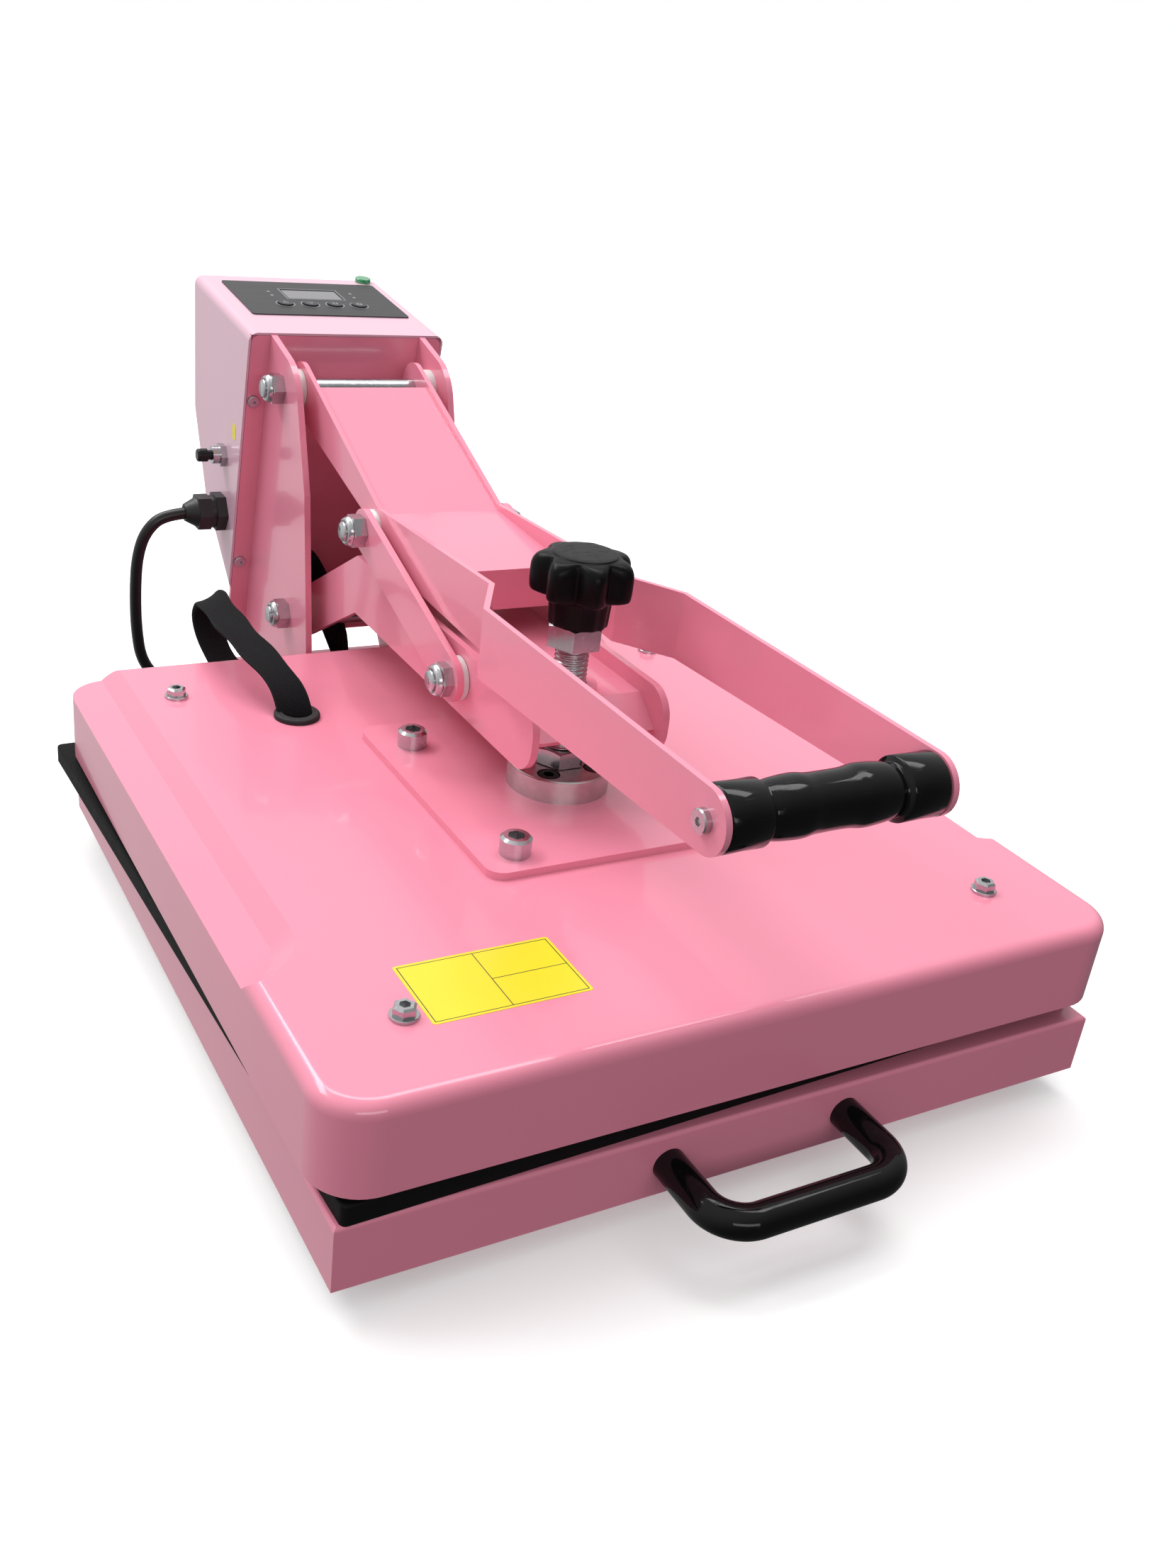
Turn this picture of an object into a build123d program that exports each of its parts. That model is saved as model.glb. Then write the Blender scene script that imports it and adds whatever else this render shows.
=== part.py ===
from build123d import *
import math
import os

os.makedirs("parts", exist_ok=True)

# Clamshell heat press with a pull-out lower platen. Millimetres, +Z up, +Y to the rear, the
# user stands at -Y. The origin is on the floor under the middle of the whole press.

# ---------------------------------------------------------------- driving dimensions
# upper platen cover
cover_w, cover_d, cover_h, cover_t = 420.0, 430.0, 44.3, 1.5
cover_corner_r, cover_edge_r = 24.0, 7.0
cover_rear, cover_bottom = 125.0, 59.0
recess_w, recess_drop, recess_start, recess_r = 21.0, 8.0, 100.0, 28.0
# drawer
tray_w, tray_d, tray_h, tray_t = 409.0, 428.0, 32.5, 1.5
tray_setback, tray_bottom, tray_bend_r, rear_lip = 2.0, 14.0, 2.0, 9.0
pad_w, pad_d, pad_t, pad_turn = 406.0, 430.0, 10.0, 1.9
pull_span, pull_reach, pull_r, pull_bend = 98.0, 45.0, 8.0, 18.0
# heating stack inside the cover
plate_w, plate_d, plate_t = 380.0, 380.0, 16.0
plate_gap = 0.5
heater_r, heater_pitch = 4.0, 56.0
blanket_t, blanket_w = 14.0, 336.0
# pressure head
spindle_ahead = 215.5
mount_w, mount_front, mount_rear, mount_t, mount_corner_r = 155.0, 80.0, 92.0, 4.0, 9.0
cap_x, cap_front, cap_rear, cap_r, cap_head_r, cap_head_h = 57.5, 63.5, 62.5, 5.0, 8.0, 10.0
flange_r, flange_h = 27.5, 13.0
flange_screw_ring, flange_screw_r, flange_screw_head_r = 19.5, 3.0, 6.0
rod_r, rod_clear = 9.0, 0.35
knob_r, knob_h, knob_lobes, knob_hub_r, knob_hub_h = 28.0, 23.0, 7, 17.0, 14.0
nut_af, lock_nut_h, foot_nut_h = 27.0, 12.0, 9.0
cover_screw_x, cover_screw_front, cover_screw_rear = 158.7, 49.8, 50.6
cover_screw_r, cover_screw_head_r = 3.0, 6.5
post_r, post_clear = 9.0, 0.2
grommet_x, grommet_ahead, grommet_r, grommet_bore = -102.0, 93.0, 13.0, 8.5
# pivots of the toggle linkage, in Y and Z
pivot_handle = (212.0, 245.5)
pivot_arm = (191.5, 102.5)
pivot_knee = (82.0, 194.0)
pivot_front = (-45.0, 153.0)
pivot_grip = (-300.0, 201.0)
pin_r, pin_clear, side_clear, washer_r = 6.0, 0.05, 0.15, 12.0
nut_r, nut_h = 9.5, 8.0
# column and base
cheek_out, cheek_t = 53.0, 4.0
face_top = (233.0, 275.3)
face_lean, face_t, face_bottom = 0.2065, 3.0, 52.0
box_step, box_t, box_corner_r = 14.0, 1.5, 6.0
box_rear, box_rear_top, box_rear_low = 357.0, 290.5, 199.0
box_heel = (329.6, 141.0)
box_toe_z = 90.7
foot_h, foot_r = 14.0, 12.0
beam_h, beam_w, beam_wall = 20.0, 20.0, 2.0
base_rear, sole_front, sole_w, sole_t = 275.0, 147.0, 150.0, 4.0
# handle and platen arm
yoke_out, yoke_t = 40.0, 3.0
arm_out_grip, jog_rear, jog_front = 59.0, -68.0, -101.0
yoke_end_r, grip_end_r = 16.5, 14.5
web_t = 3.0
channel_t, channel_end_r, channel_web_t = 4.0, 15.5, 4.0
channel_top, channel_bottom, channel_front = 170.5, 132.5, -129.0
channel_knee, channel_nose_r = 105.0, 16.0
link_t, link_r, link_gap = 4.0, 12.5, 3.5
grip_r, grip_waist_r = 14.5, 12.6
# telescopic rails
rail_len, rail_h, rail_wall, rail_gap = 400.0, 17.0, 1.2, 0.6
# power cord
cord_r, coil_mid_r, coil_half, coil_h = 4.0, 45.0, 12.0, 16.0
coil_at = (142.0, 218.0)

# ---------------------------------------------------------------- values worked out
cover_front = cover_rear - cover_d
box_w = 2 * (cheek_out + box_step)
spindle_y = cover_rear - spindle_ahead
grommet_y = cover_rear - grommet_ahead
cover_top = cover_bottom + cover_h
cover_mid_y = cover_front + cover_d / 2
tray_front = cover_front + tray_setback
tray_top = tray_bottom + tray_h
tray_mid_y = tray_front + tray_d / 2
pad_top = tray_top + pad_t
plate_bottom = pad_top + plate_gap
plate_top = plate_bottom + plate_t
mount_top = cover_top + mount_t
flange_top = mount_top + flange_h
cover_under = cover_top - cover_t
cap_points = [(s * cap_x, spindle_y + y) for s in (-1, 1) for y in (-cap_front, cap_rear)]
cover_points = [
    (s * cover_screw_x, y)
    for s in (-1, 1)
    for y in (cover_front + cover_screw_front, cover_rear - cover_screw_rear)
]
cheek_in = cheek_out - cheek_t
yoke_in = yoke_out - yoke_t
link_in = yoke_out + link_gap
link_out = link_in + link_t
knob_bottom = 213.0
hub_bottom = knob_bottom - knob_hub_h
lock_nut_bottom = hub_bottom - lock_nut_h
frame_bottom = foot_h
frame_top = frame_bottom + beam_h
skirt_in = tray_w / 2 - tray_t
rail_fixed_x = skirt_in - 13.0
rail_y = tray_front + tray_t + 3.0 + rail_len / 2
rail_z = frame_bottom + 3.0 + rail_h / 2
lid_slope = math.atan2(box_rear_top - face_top[1], box_rear - face_top[0])
lid = Plane(
    origin=(0, face_top[0], face_top[1]),
    x_dir=(1, 0, 0),
    z_dir=(0, -math.sin(lid_slope), math.cos(lid_slope)),
)


def face_y(z):
    """Y of the column face's front side at height z."""
    return face_top[0] + face_lean * (face_top[1] - z)


def touch(point, centre, radius, side):
    """Where a line from the point touches the circle, side +1 above and -1 below it."""
    dy, dz = centre[0] - point[0], centre[1] - point[1]
    reach = math.hypot(dy, dz)
    turn = math.atan2(dz, dy) + side * math.copysign(math.asin(radius / reach), dy)
    run = math.sqrt(reach**2 - radius**2)
    return (point[0] + run * math.cos(turn), point[1] + run * math.sin(turn))


def strip(points, thickness):
    """Corners of a bent sheet's edge: the points, and the same line set off to its left."""
    offset_line = []
    for i, point in enumerate(points):
        before = points[max(i - 1, 0)]
        after = points[min(i + 1, len(points) - 1)]
        first = Vector(point[0] - before[0], point[1] - before[1])
        second = Vector(after[0] - point[0], after[1] - point[1])
        first = first if first.length else second
        second = second if second.length else first
        first, second = first.normalized(), second.normalized()
        middle = (first + second).normalized()
        reach = thickness / middle.dot(first)
        offset_line.append((point[0] - middle.Y * reach, point[1] + middle.X * reach))
    return list(points) + offset_line[::-1]


def save(part, name):
    """Give the piece its name and write its file."""
    part.label = name
    export_step(part, f"parts/{name}.step")


def screw(head_r, head_h, shank_r, shank_len, socket_r=0.0, sides=0):
    """A screw along Z: head above Z = 0, shank below; a hexagon head with sides=6."""
    with BuildPart() as one:
        with BuildSketch():
            if sides:
                RegularPolygon(head_r, sides)
            else:
                Circle(head_r)
        extrude(amount=head_h)
        chamfer(one.faces().sort_by(Axis.Z)[-1].edges(), length=min(head_h, head_r) * 0.18)
        if socket_r:
            with BuildSketch(Plane.XY.offset(head_h)):
                RegularPolygon(socket_r, 6)
            extrude(amount=-head_h * 0.55, mode=Mode.SUBTRACT)
        with BuildSketch():
            Circle(shank_r)
        extrude(amount=-shank_len)
    return one.part


def nut(across_flats, height, bore):
    """A hexagon nut standing on Z = 0, with its corners turned off at the top."""
    with BuildPart() as one:
        with BuildSketch():
            RegularPolygon(across_flats / 2, 6, major_radius=False)
            Circle(bore, mode=Mode.SUBTRACT)
        extrude(amount=height)
        with BuildSketch(Plane.XZ) as corner:
            with BuildLine():
                reach = across_flats / 2
                Polyline(
                    (reach * 0.98, height),
                    (reach * 1.3, height),
                    (reach * 1.3, height - reach * 0.16),
                    close=True,
                )
            make_face()
        revolve(axis=Axis.Z, mode=Mode.SUBTRACT)
    return one.part


def outward(side, x, pivot):
    """A plane whose Z points out of the press's side, at X = side * x on a pivot's axis."""
    return Plane(origin=(side * x, pivot[0], pivot[1]), x_dir=(0, 1, 0), z_dir=(side, 0, 0))


# ---------------------------------------------------------------- base
with BuildPart() as base_frame:
    with BuildSketch(Plane.XY.offset(frame_bottom)) as frame_plan:
        side_x = rail_fixed_x - beam_w / 2
        front_y = tray_front + tray_t + 3.0 + beam_w / 2
        rear_y = front_y + 400.0
        for side in (-1, 1):
            with Locations((side * side_x, (front_y + rear_y) / 2)):
                Rectangle(beam_w, rear_y - front_y + beam_w)
            with Locations((side * (cheek_out + 2.0), (front_y + base_rear - beam_w / 2) / 2)):
                Rectangle(beam_w, base_rear - beam_w / 2 - front_y + beam_w)
        for y in (front_y, rear_y):
            with Locations((0, y)):
                Rectangle(2 * side_x + beam_w, beam_w)
        with Locations((0, base_rear - beam_w / 2)):
            Rectangle(2 * cheek_out + 4.0 + beam_w, beam_w)
    extrude(amount=beam_h)
    with BuildSketch(Plane.XY.offset(frame_bottom)) as hollow_plan:
        add(frame_plan.sketch)
        offset(amount=-beam_wall, kind=Kind.INTERSECTION)
    extrude(amount=beam_h - beam_wall, mode=Mode.SUBTRACT)
save(base_frame.part, "base_frame")

with BuildPart() as sole_plate:
    with BuildSketch(Plane.XY.offset(frame_top)):
        with Locations((0, (sole_front + base_rear) / 2)):
            RectangleRounded(sole_w, base_rear - sole_front, 6.0)
    extrude(amount=sole_t)
save(sole_plate.part, "sole_plate")
sole_top = frame_top + sole_t

foot_points = [(s * side_x, y) for s in (-1, 1) for y in (front_y + 20.0, rear_y - 20.0)]
foot_points += [(s * (cheek_out + 2.0), base_rear - foot_r) for s in (-1, 1)]
with BuildPart() as rubber_feet:
    with Locations(*[(x, y, 0) for x, y in foot_points]):
        Cone(foot_r - 2.0, foot_r, foot_h, align=(Align.CENTER, Align.CENTER, Align.MIN))
save(rubber_feet.part, "rubber_feet")


def cheek_profile():
    """Side outline of a column cheek, wider at the foot than at the top."""
    with BuildSketch(Plane.YZ.offset(cheek_in)) as outline:
        with BuildLine():
            Polyline(
                (face_top[0], face_top[1] - 1.0),
                (187.0, 262.0),
                (164.0, 190.0),
                (152.0, 93.0),
                (sole_front + 3.0, sole_top),
                (face_y(sole_top) - 14.0, sole_top),
                (face_y(face_bottom), face_bottom),
                close=True,
            )
        make_face()
        knee = [v for v in outline.vertices() if abs(v.X - 187.0) < 0.5]
        fillet(knee, radius=30.0)
        for pivot in (pivot_handle, pivot_arm):
            with Locations((pivot[0], pivot[1])):
                Circle(pin_r, mode=Mode.SUBTRACT)
    return outline.sketch


with BuildPart() as column_cheek_right:
    extrude(cheek_profile(), amount=cheek_t)
save(column_cheek_right.part, "column_cheek_right")

with BuildPart() as column_cheek_left:
    add(mirror(column_cheek_right.part, about=Plane.YZ))
save(column_cheek_left.part, "column_cheek_left")

face_tilt = math.atan(face_lean)
face_plane = Plane(
    origin=(0, face_top[0], face_top[1]),
    x_dir=(1, 0, 0),
    z_dir=(0, -math.cos(face_tilt), -math.sin(face_tilt)),
)
face_len = (face_top[1] - face_bottom) / math.cos(face_tilt)
face_w = box_w - 2 * box_t - 0.6
lead_hole = (-30.0, 153.0 / math.cos(face_tilt))
face_screws = [(s * (cheek_out + 8.0), d) for s in (-1, 1) for d in (46.0, 165.0)]
with BuildPart() as column_face:
    with BuildSketch(face_plane):
        with Locations((0, -(face_len + 1.8) / 2)):
            RectangleRounded(face_w, face_len - 1.8, 5.0)
        with Locations((lead_hole[0], -lead_hole[1])):
            SlotOverall(26.0, 11.0, mode=Mode.SUBTRACT)
        with Locations(*[(x, -d) for x, d in face_screws]):
            Circle(2.1, mode=Mode.SUBTRACT)
    extrude(amount=-face_t)
save(column_face.part, "column_face")

with BuildPart() as face_screw_set:
    with Locations(*[face_plane * Location((x, -d, 0)) for x, d in face_screws]):
        add(screw(4.0, 2.6, 2.0, face_t + 6.0, socket_r=1.2))
save(face_screw_set.part, "face_screws")

# ---------------------------------------------------------------- control box
box_outline = [
    face_top,
    (box_rear, box_rear_top),
    (box_rear, box_rear_low),
    box_heel,
    (face_y(box_toe_z), box_toe_z),
]
panel_w, panel_d, panel_t, panel_at = 110.0, 70.0, 0.8, (2.0, 71.0)
lcd_w, lcd_d, lcd_at = 39.0, 19.0, (2.5, 80.0)
key_r, key_y, key_gap, key_h = 5.0, 58.5, 0.25, 1.8
key_xs = (-23.5, -6.0, 11.5, 29.0)
lamp_at, lamp_r = (54.0, 116.0), 5.5
gland_y, gland_z, gland_r = 285.0, 144.0, 12.5
button_y, button_z, button_r = 283.0, 184.0, 6.0


def box_form(inset):
    """The control box's outline across its width, its edges behind the face rounded."""
    half = box_w / 2 - inset
    with BuildPart() as form:
        with BuildSketch(Plane.YZ.offset(-half)):
            Polygon(*box_outline, align=None)
            if inset:
                offset(amount=-inset, kind=Kind.INTERSECTION)
        extrude(amount=2 * half)
        behind = face_t + 1.0
        long_edges = [
            e for e in form.edges()
            if abs(abs(e.center().X) - half) < 0.01
            and e.center().Y > face_y(e.center().Z) + behind
        ]
        rear_edges = [
            e for e in form.edges().filter_by(Axis.X) if e.center().Y > box_rear - inset - 1.0
        ]
        fillet(long_edges + rear_edges, radius=box_corner_r - inset)
    return form.part


box_shell = box_form(0.0)
box_cavity = box_form(box_t)
front_low = box_toe_z - 8.0
with BuildPart() as control_box:
    add(box_shell)
    add(box_cavity, mode=Mode.SUBTRACT)
    with BuildSketch(Plane.YZ.offset(-box_w / 2 + box_t)):
        Polygon(
            (face_top[0] - 5.0, face_top[1] - box_t),
            (face_top[0] + face_t + 0.6, face_top[1] - box_t),
            (face_y(front_low) + face_t + 0.6, front_low),
            (face_y(front_low) - 5.0, front_low),
            align=None,
        )
    extrude(amount=box_w - 2 * box_t, mode=Mode.SUBTRACT)
    with BuildSketch(lid):
        with Locations(lcd_at):
            Rectangle(lcd_w + 2.0, lcd_d + 2.0)
        with Locations(*[(x, key_y) for x in key_xs]):
            Circle(key_r + key_gap)
        with Locations(lamp_at):
            Circle(lamp_r - 1.0)
    extrude(amount=-8.0, mode=Mode.SUBTRACT)
    with BuildSketch(Plane.YZ.offset(-box_w / 2)):
        with Locations((gland_y, gland_z)):
            Circle(8.5)
        with Locations((button_y, button_z)):
            Circle(button_r)
    extrude(amount=box_t, mode=Mode.SUBTRACT)
save(control_box.part, "control_box")

with BuildPart() as display_panel:
    with BuildSketch(lid):
        with Locations(panel_at):
            RectangleRounded(panel_w, panel_d, 2.0)
        with Locations(lcd_at):
            Rectangle(lcd_w, lcd_d, mode=Mode.SUBTRACT)
        with Locations(*[(x, key_y) for x in key_xs]):
            Circle(key_r + key_gap, mode=Mode.SUBTRACT)
    extrude(amount=panel_t)
save(display_panel.part, "display_panel")

with BuildPart() as lcd_window:
    with BuildSketch(lid):
        with Locations(lcd_at):
            Rectangle(lcd_w - 0.2, lcd_d - 0.2)
    extrude(amount=panel_t - 0.3)
    with BuildSketch(lid):
        with Locations(lcd_at):
            Rectangle(lcd_w + 1.6, lcd_d + 1.6)
    extrude(amount=-5.0)
save(lcd_window.part, "lcd_module")

board_depth = 6.5
key_foot = board_depth - 1.0
with BuildPart() as keys:
    with BuildSketch(lid.offset(-key_foot)):
        with Locations(*[(x, key_y) for x in key_xs]):
            Circle(key_r)
    extrude(amount=key_foot + key_h)
save(keys.part, "membrane_keys")

with BuildPart() as pilot_lamp:
    with Locations(lid * Location((lamp_at[0], lamp_at[1], 0))):
        add(screw(lamp_r, 3.0, lamp_r - 1.2, 14.0))
save(pilot_lamp.part, "pilot_lamp")

# The mains button screws into the box's left side: a chromed bush with a black cap.
button_plane = outward(-1, box_w / 2, (button_y, button_z))
with BuildPart() as button_bush:
    with BuildSketch(button_plane.offset(-box_t - 10.0)):
        Circle(button_r - 0.1)
        Circle(3.6, mode=Mode.SUBTRACT)
    extrude(amount=box_t + 19.0)
    with BuildSketch(button_plane):
        RegularPolygon(8.0, 6)
        Circle(3.6, mode=Mode.SUBTRACT)
    extrude(amount=4.0)
save(button_bush.part, "button_bush")

with BuildPart() as mains_button:
    with BuildSketch(button_plane.offset(-6.0)):
        Circle(3.2)
    extrude(amount=18.0)
    with BuildSketch(button_plane.offset(12.0)):
        Circle(4.4)
    extrude(amount=7.0)
    fillet(mains_button.edges().filter_by(GeomType.CIRCLE).sort_by(Axis.X)[0], radius=1.5)
save(mains_button.part, "mains_button")

gland_plane = outward(-1, box_w / 2, (gland_y, gland_z))
with BuildPart() as cable_gland:
    with BuildSketch(gland_plane):
        RegularPolygon(gland_r + 1.0, 6)
    extrude(amount=7.0)
    with BuildSketch(gland_plane.offset(7.0)):
        Circle(gland_r - 1.5)
    extrude(amount=3.0)
    with BuildSketch(gland_plane.offset(10.0)):
        RegularPolygon(gland_r, 6)
    extrude(amount=9.0)
    with BuildSketch(gland_plane.offset(18.0)):
        Circle(gland_r - 1.8)
    extrude(amount=9.0, taper=28)
    with BuildSketch(gland_plane):
        Circle(8.2)
    extrude(amount=-8.0)
    with BuildSketch(gland_plane.offset(-8.0)):
        Circle(cord_r)
    extrude(amount=40.0, mode=Mode.SUBTRACT)
    with Locations(gland_plane.offset(-box_t) * Location((0, 0, -5.0))):
        add(nut(24.0, 5.0, 8.3))
save(cable_gland.part, "cable_gland")

back = Plane(
    origin=(0, face_y(180.0) + face_t * 1.03, 180.0),
    x_dir=(1, 0, 0),
    z_dir=(0, math.cos(face_tilt), math.sin(face_tilt)),
)
standoffs = [(s * 36.0, t * 25.0) for s in (-1, 1) for t in (-1, 1)]
with BuildPart() as circuit_boards:
    with BuildSketch(lid.offset(-board_depth)):
        with Locations(panel_at):
            Rectangle(panel_w - 8.0, panel_d - 8.0)
    extrude(amount=-1.6)
    with BuildSketch(back.offset(8.0)):
        Rectangle(86.0, 64.0)
    extrude(amount=1.6)
    with BuildSketch(back):
        with Locations(*standoffs):
            Circle(3.0)
    extrude(amount=8.0)
save(circuit_boards.part, "circuit_boards")

with BuildPart() as board_parts:
    with BuildSketch(back.offset(9.6)):
        with Locations((-18.0, 8.0)):
            Rectangle(28.0, 32.0)
    extrude(amount=22.0)
    with BuildSketch(back.offset(9.6)):
        with Locations((22.0, -18.0)):
            Rectangle(38.0, 14.0)
    extrude(amount=15.0)
save(board_parts.part, "relay_and_terminals")

# ---------------------------------------------------------------- drawer
with BuildPart() as tray:
    with BuildSketch(Plane.XY.offset(tray_bottom)):
        with Locations((0, tray_mid_y)):
            Rectangle(tray_w, tray_d)
    extrude(amount=tray_h)
    fillet(tray.faces().sort_by(Axis.Z)[-1].edges(), radius=tray_bend_r)
    with BuildSketch(Plane.XY.offset(tray_bottom)):
        with Locations((0, tray_mid_y)):
            Rectangle(tray_w - 2 * tray_t, tray_d - 2 * tray_t)
    extrude(amount=tray_h - tray_t, mode=Mode.SUBTRACT)
    with BuildSketch(Plane.XY.offset(tray_bottom)):
        with Locations((0, tray_front + tray_d)):
            Rectangle(tray_w - 2 * tray_t, 6.0)
    extrude(amount=tray_h - rear_lip, mode=Mode.SUBTRACT)
    pull_plane = Plane.XZ.offset(-tray_front)
    with BuildSketch(pull_plane):
        with Locations(*[(s * pull_span / 2, tray_bottom + tray_h / 2) for s in (-1, 1)]):
            Circle(2.6)
    extrude(amount=-tray_t, mode=Mode.SUBTRACT)
save(tray.part, "drawer_tray")

with BuildPart() as pad:
    corner = (-tray_w / 2 + 3.0, tray_front)
    with BuildSketch(Plane(origin=(corner[0], corner[1], tray_top)).rotated((0, 0, pad_turn))):
        RectangleRounded(pad_w, pad_d, 3.0, align=(Align.MIN, Align.MIN))
    extrude(amount=pad_t)
    fillet(pad.faces().sort_by(Axis.Z)[-1].edges(), radius=1.2)
save(pad.part, "silicone_pad")

pull_z = tray_bottom + tray_h / 2
with BuildPart() as pull:
    with BuildLine(Plane.XY.offset(pull_z)) as pull_path:
        half = pull_span / 2
        FilletPolyline(
            (-half, tray_front),
            (-half, tray_front - pull_reach),
            (half, tray_front - pull_reach),
            (half, tray_front),
            radius=pull_bend,
        )
    with BuildSketch(Plane(origin=pull_path.line @ 0, z_dir=pull_path.line % 0)):
        Circle(pull_r)
    sweep()
    with BuildSketch(pull_plane):
        with Locations(*[(s * pull_span / 2, pull_z) for s in (-1, 1)]):
            Circle(2.0)
    extrude(amount=14.0, mode=Mode.SUBTRACT)
save(pull.part, "drawer_pull")

with BuildPart() as pull_screws:
    with Locations(*[
        Plane(origin=(s * pull_span / 2, tray_front + tray_t, pull_z), z_dir=(0, 1, 0)).location
        for s in (-1, 1)
    ]):
        add(screw(4.2, 2.4, 2.0, tray_t + 12.0, socket_r=1.3))
save(pull_screws.part, "pull_screws")


def rail(inner_x, depth, height, shift, name):
    """A pair of rail members: bent channels that open outwards, or flat bars."""
    with BuildPart() as pair:
        for side in (-1, 1):
            with BuildSketch(Plane.XZ.offset(-(rail_y - rail_len / 2))):
                with Locations((side * (inner_x + depth / 2), rail_z)):
                    Rectangle(depth, height)
                if shift:
                    with Locations((side * (inner_x + depth / 2 + rail_wall), rail_z)):
                        Rectangle(depth, height - 2 * rail_wall, mode=Mode.SUBTRACT)
            extrude(amount=-rail_len)
    save(pair.part, name)


middle_h = rail_h - 2 * rail_wall - 2 * rail_gap
bar_h = middle_h - 2 * rail_wall - 2 * rail_gap
rail(rail_fixed_x, 9.0, rail_h, True, "fixed_rails")
rail(rail_fixed_x + rail_wall + rail_gap, 9.0, middle_h, True, "middle_rails")
bar_x = rail_fixed_x + 2 * (rail_wall + rail_gap)
rail(bar_x, skirt_in - bar_x, bar_h, False, "drawer_rails")


# ---------------------------------------------------------------- upper platen
def cover_form(inset):
    """The pressed cover's solid form, or the hollow inside it when inset by the wall."""
    width, depth = cover_w - 2 * inset, cover_d - 2 * inset
    top = cover_top - inset
    with BuildPart() as form:
        with BuildSketch(Plane.XY.offset(cover_bottom)):
            with Locations((0, cover_mid_y)):
                RectangleRounded(width, depth, cover_corner_r - inset)
        extrude(amount=top - cover_bottom)
        fillet(form.faces().sort_by(Axis.Z)[-1].edges(), radius=cover_edge_r - inset)
        for side in (-1, 1):
            low, high = cover_front + recess_start, cover_front + cover_d + 30.0
            inner = cover_w / 2 - recess_w
            with BuildSketch(Plane.XY.offset(top - recess_drop)) as floor:
                with Locations((side * (inner + 40.0), (low + high) / 2)):
                    Rectangle(80.0, high - low)
                fillet(floor.vertices().group_by(Axis.Y)[0], radius=recess_r)
            extrude(amount=recess_drop + 2.0, taper=-50, mode=Mode.SUBTRACT)
    return form.part


with BuildPart() as cover:
    add(cover_form(0.0))
    add(cover_form(cover_t), mode=Mode.SUBTRACT)
    with BuildSketch(Plane.XY.offset(cover_top)):
        with Locations(*cap_points):
            Circle(cap_r + 0.3)
        with Locations(*cover_points):
            Circle(cover_screw_r + 0.3)
        with Locations((grommet_x, grommet_y)):
            Circle(grommet_r - 2.0)
    extrude(amount=-cover_t * 2, mode=Mode.SUBTRACT)
save(cover.part, "cover")

with BuildPart() as heating_plate:
    with BuildSketch(Plane.XY.offset(plate_bottom)):
        with Locations((0, spindle_y)):
            RectangleRounded(plate_w, plate_d, 8.0)
    extrude(amount=plate_t)
    with BuildSketch(Plane.XY.offset(plate_top)):
        with Locations(*cap_points):
            Circle(cap_r + 0.05)
        with Locations(*cover_points):
            Circle(cover_screw_r + 0.05)
    extrude(amount=-plate_t + 4.0, mode=Mode.SUBTRACT)
save(heating_plate.part, "heating_plate")

# The heater lies in runs from front to rear that miss the posts, joined by half turns.
run_xs = [heater_pitch * (i - 2.5) for i in range(6)]
run_half = 105.0
corners = []
for i, x in enumerate(run_xs):
    ends = (-run_half, run_half) if i % 2 == 0 else (run_half, -run_half)
    corners += [(x, spindle_y + end) for end in ends]
with BuildPart() as heater:
    with BuildLine(Plane.XY.offset(plate_top + heater_r)) as heater_path:
        FilletPolyline(*corners, radius=heater_pitch / 2 - 3.0)
    with BuildSketch(Plane(origin=heater_path.line @ 0, z_dir=heater_path.line % 0)):
        Circle(heater_r)
    sweep()
save(heater.part, "heater_element")

blanket_bottom = plate_top + 2 * heater_r + 0.5
with BuildPart() as blanket:
    with BuildSketch(Plane.XY.offset(blanket_bottom)):
        with Locations((0, spindle_y)):
            Rectangle(blanket_w, blanket_w)
        with Locations(*(cap_points + cover_points)):
            Circle(post_r + 1.0, mode=Mode.SUBTRACT)
        with Locations((grommet_x, grommet_y)):
            Circle(grommet_r, mode=Mode.SUBTRACT)
    extrude(amount=blanket_t)
save(blanket.part, "insulation_blanket")

with BuildPart() as posts:
    with BuildSketch(Plane.XY.offset(plate_top)):
        with Locations(*cap_points):
            Circle(post_r)
            Circle(cap_r + post_clear, mode=Mode.SUBTRACT)
    extrude(amount=cover_under - plate_top)
    with BuildSketch(Plane.XY.offset(plate_top)):
        with Locations(*cover_points):
            RegularPolygon(post_r - 2.0, 6)
        with Locations(*cover_points):
            Circle(cover_screw_r + post_clear, mode=Mode.SUBTRACT)
    extrude(amount=cover_under - plate_top)
save(posts.part, "platen_posts")

probe_at = (20.0, spindle_y + 150.0)
with BuildPart() as probe:
    with BuildSketch(Plane.XY.offset(plate_top)):
        with Locations(probe_at):
            Circle(4.0)
    extrude(amount=7.0)
save(probe.part, "temperature_probe")

mount_mid = spindle_y + (mount_rear - mount_front) / 2
with BuildPart() as mount_plate:
    with BuildSketch(Plane.XY.offset(cover_top)):
        with Locations((0, mount_mid)):
            RectangleRounded(mount_w, mount_front + mount_rear, mount_corner_r)
        with Locations(*cap_points):
            Circle(cap_r + 0.3, mode=Mode.SUBTRACT)
        with Locations((0, spindle_y)):
            with PolarLocations(flange_screw_ring, 4, 45):
                Circle(flange_screw_r + 0.05, mode=Mode.SUBTRACT)
    extrude(amount=mount_t)
save(mount_plate.part, "mount_plate")

with BuildPart() as cap_screws:
    with Locations(*[(x, y, mount_top) for x, y in cap_points]):
        add(screw(cap_head_r, cap_head_h, cap_r, mount_top - plate_top + plate_t - 5.0, socket_r=4.6))
save(cap_screws.part, "cap_screws")

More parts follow.
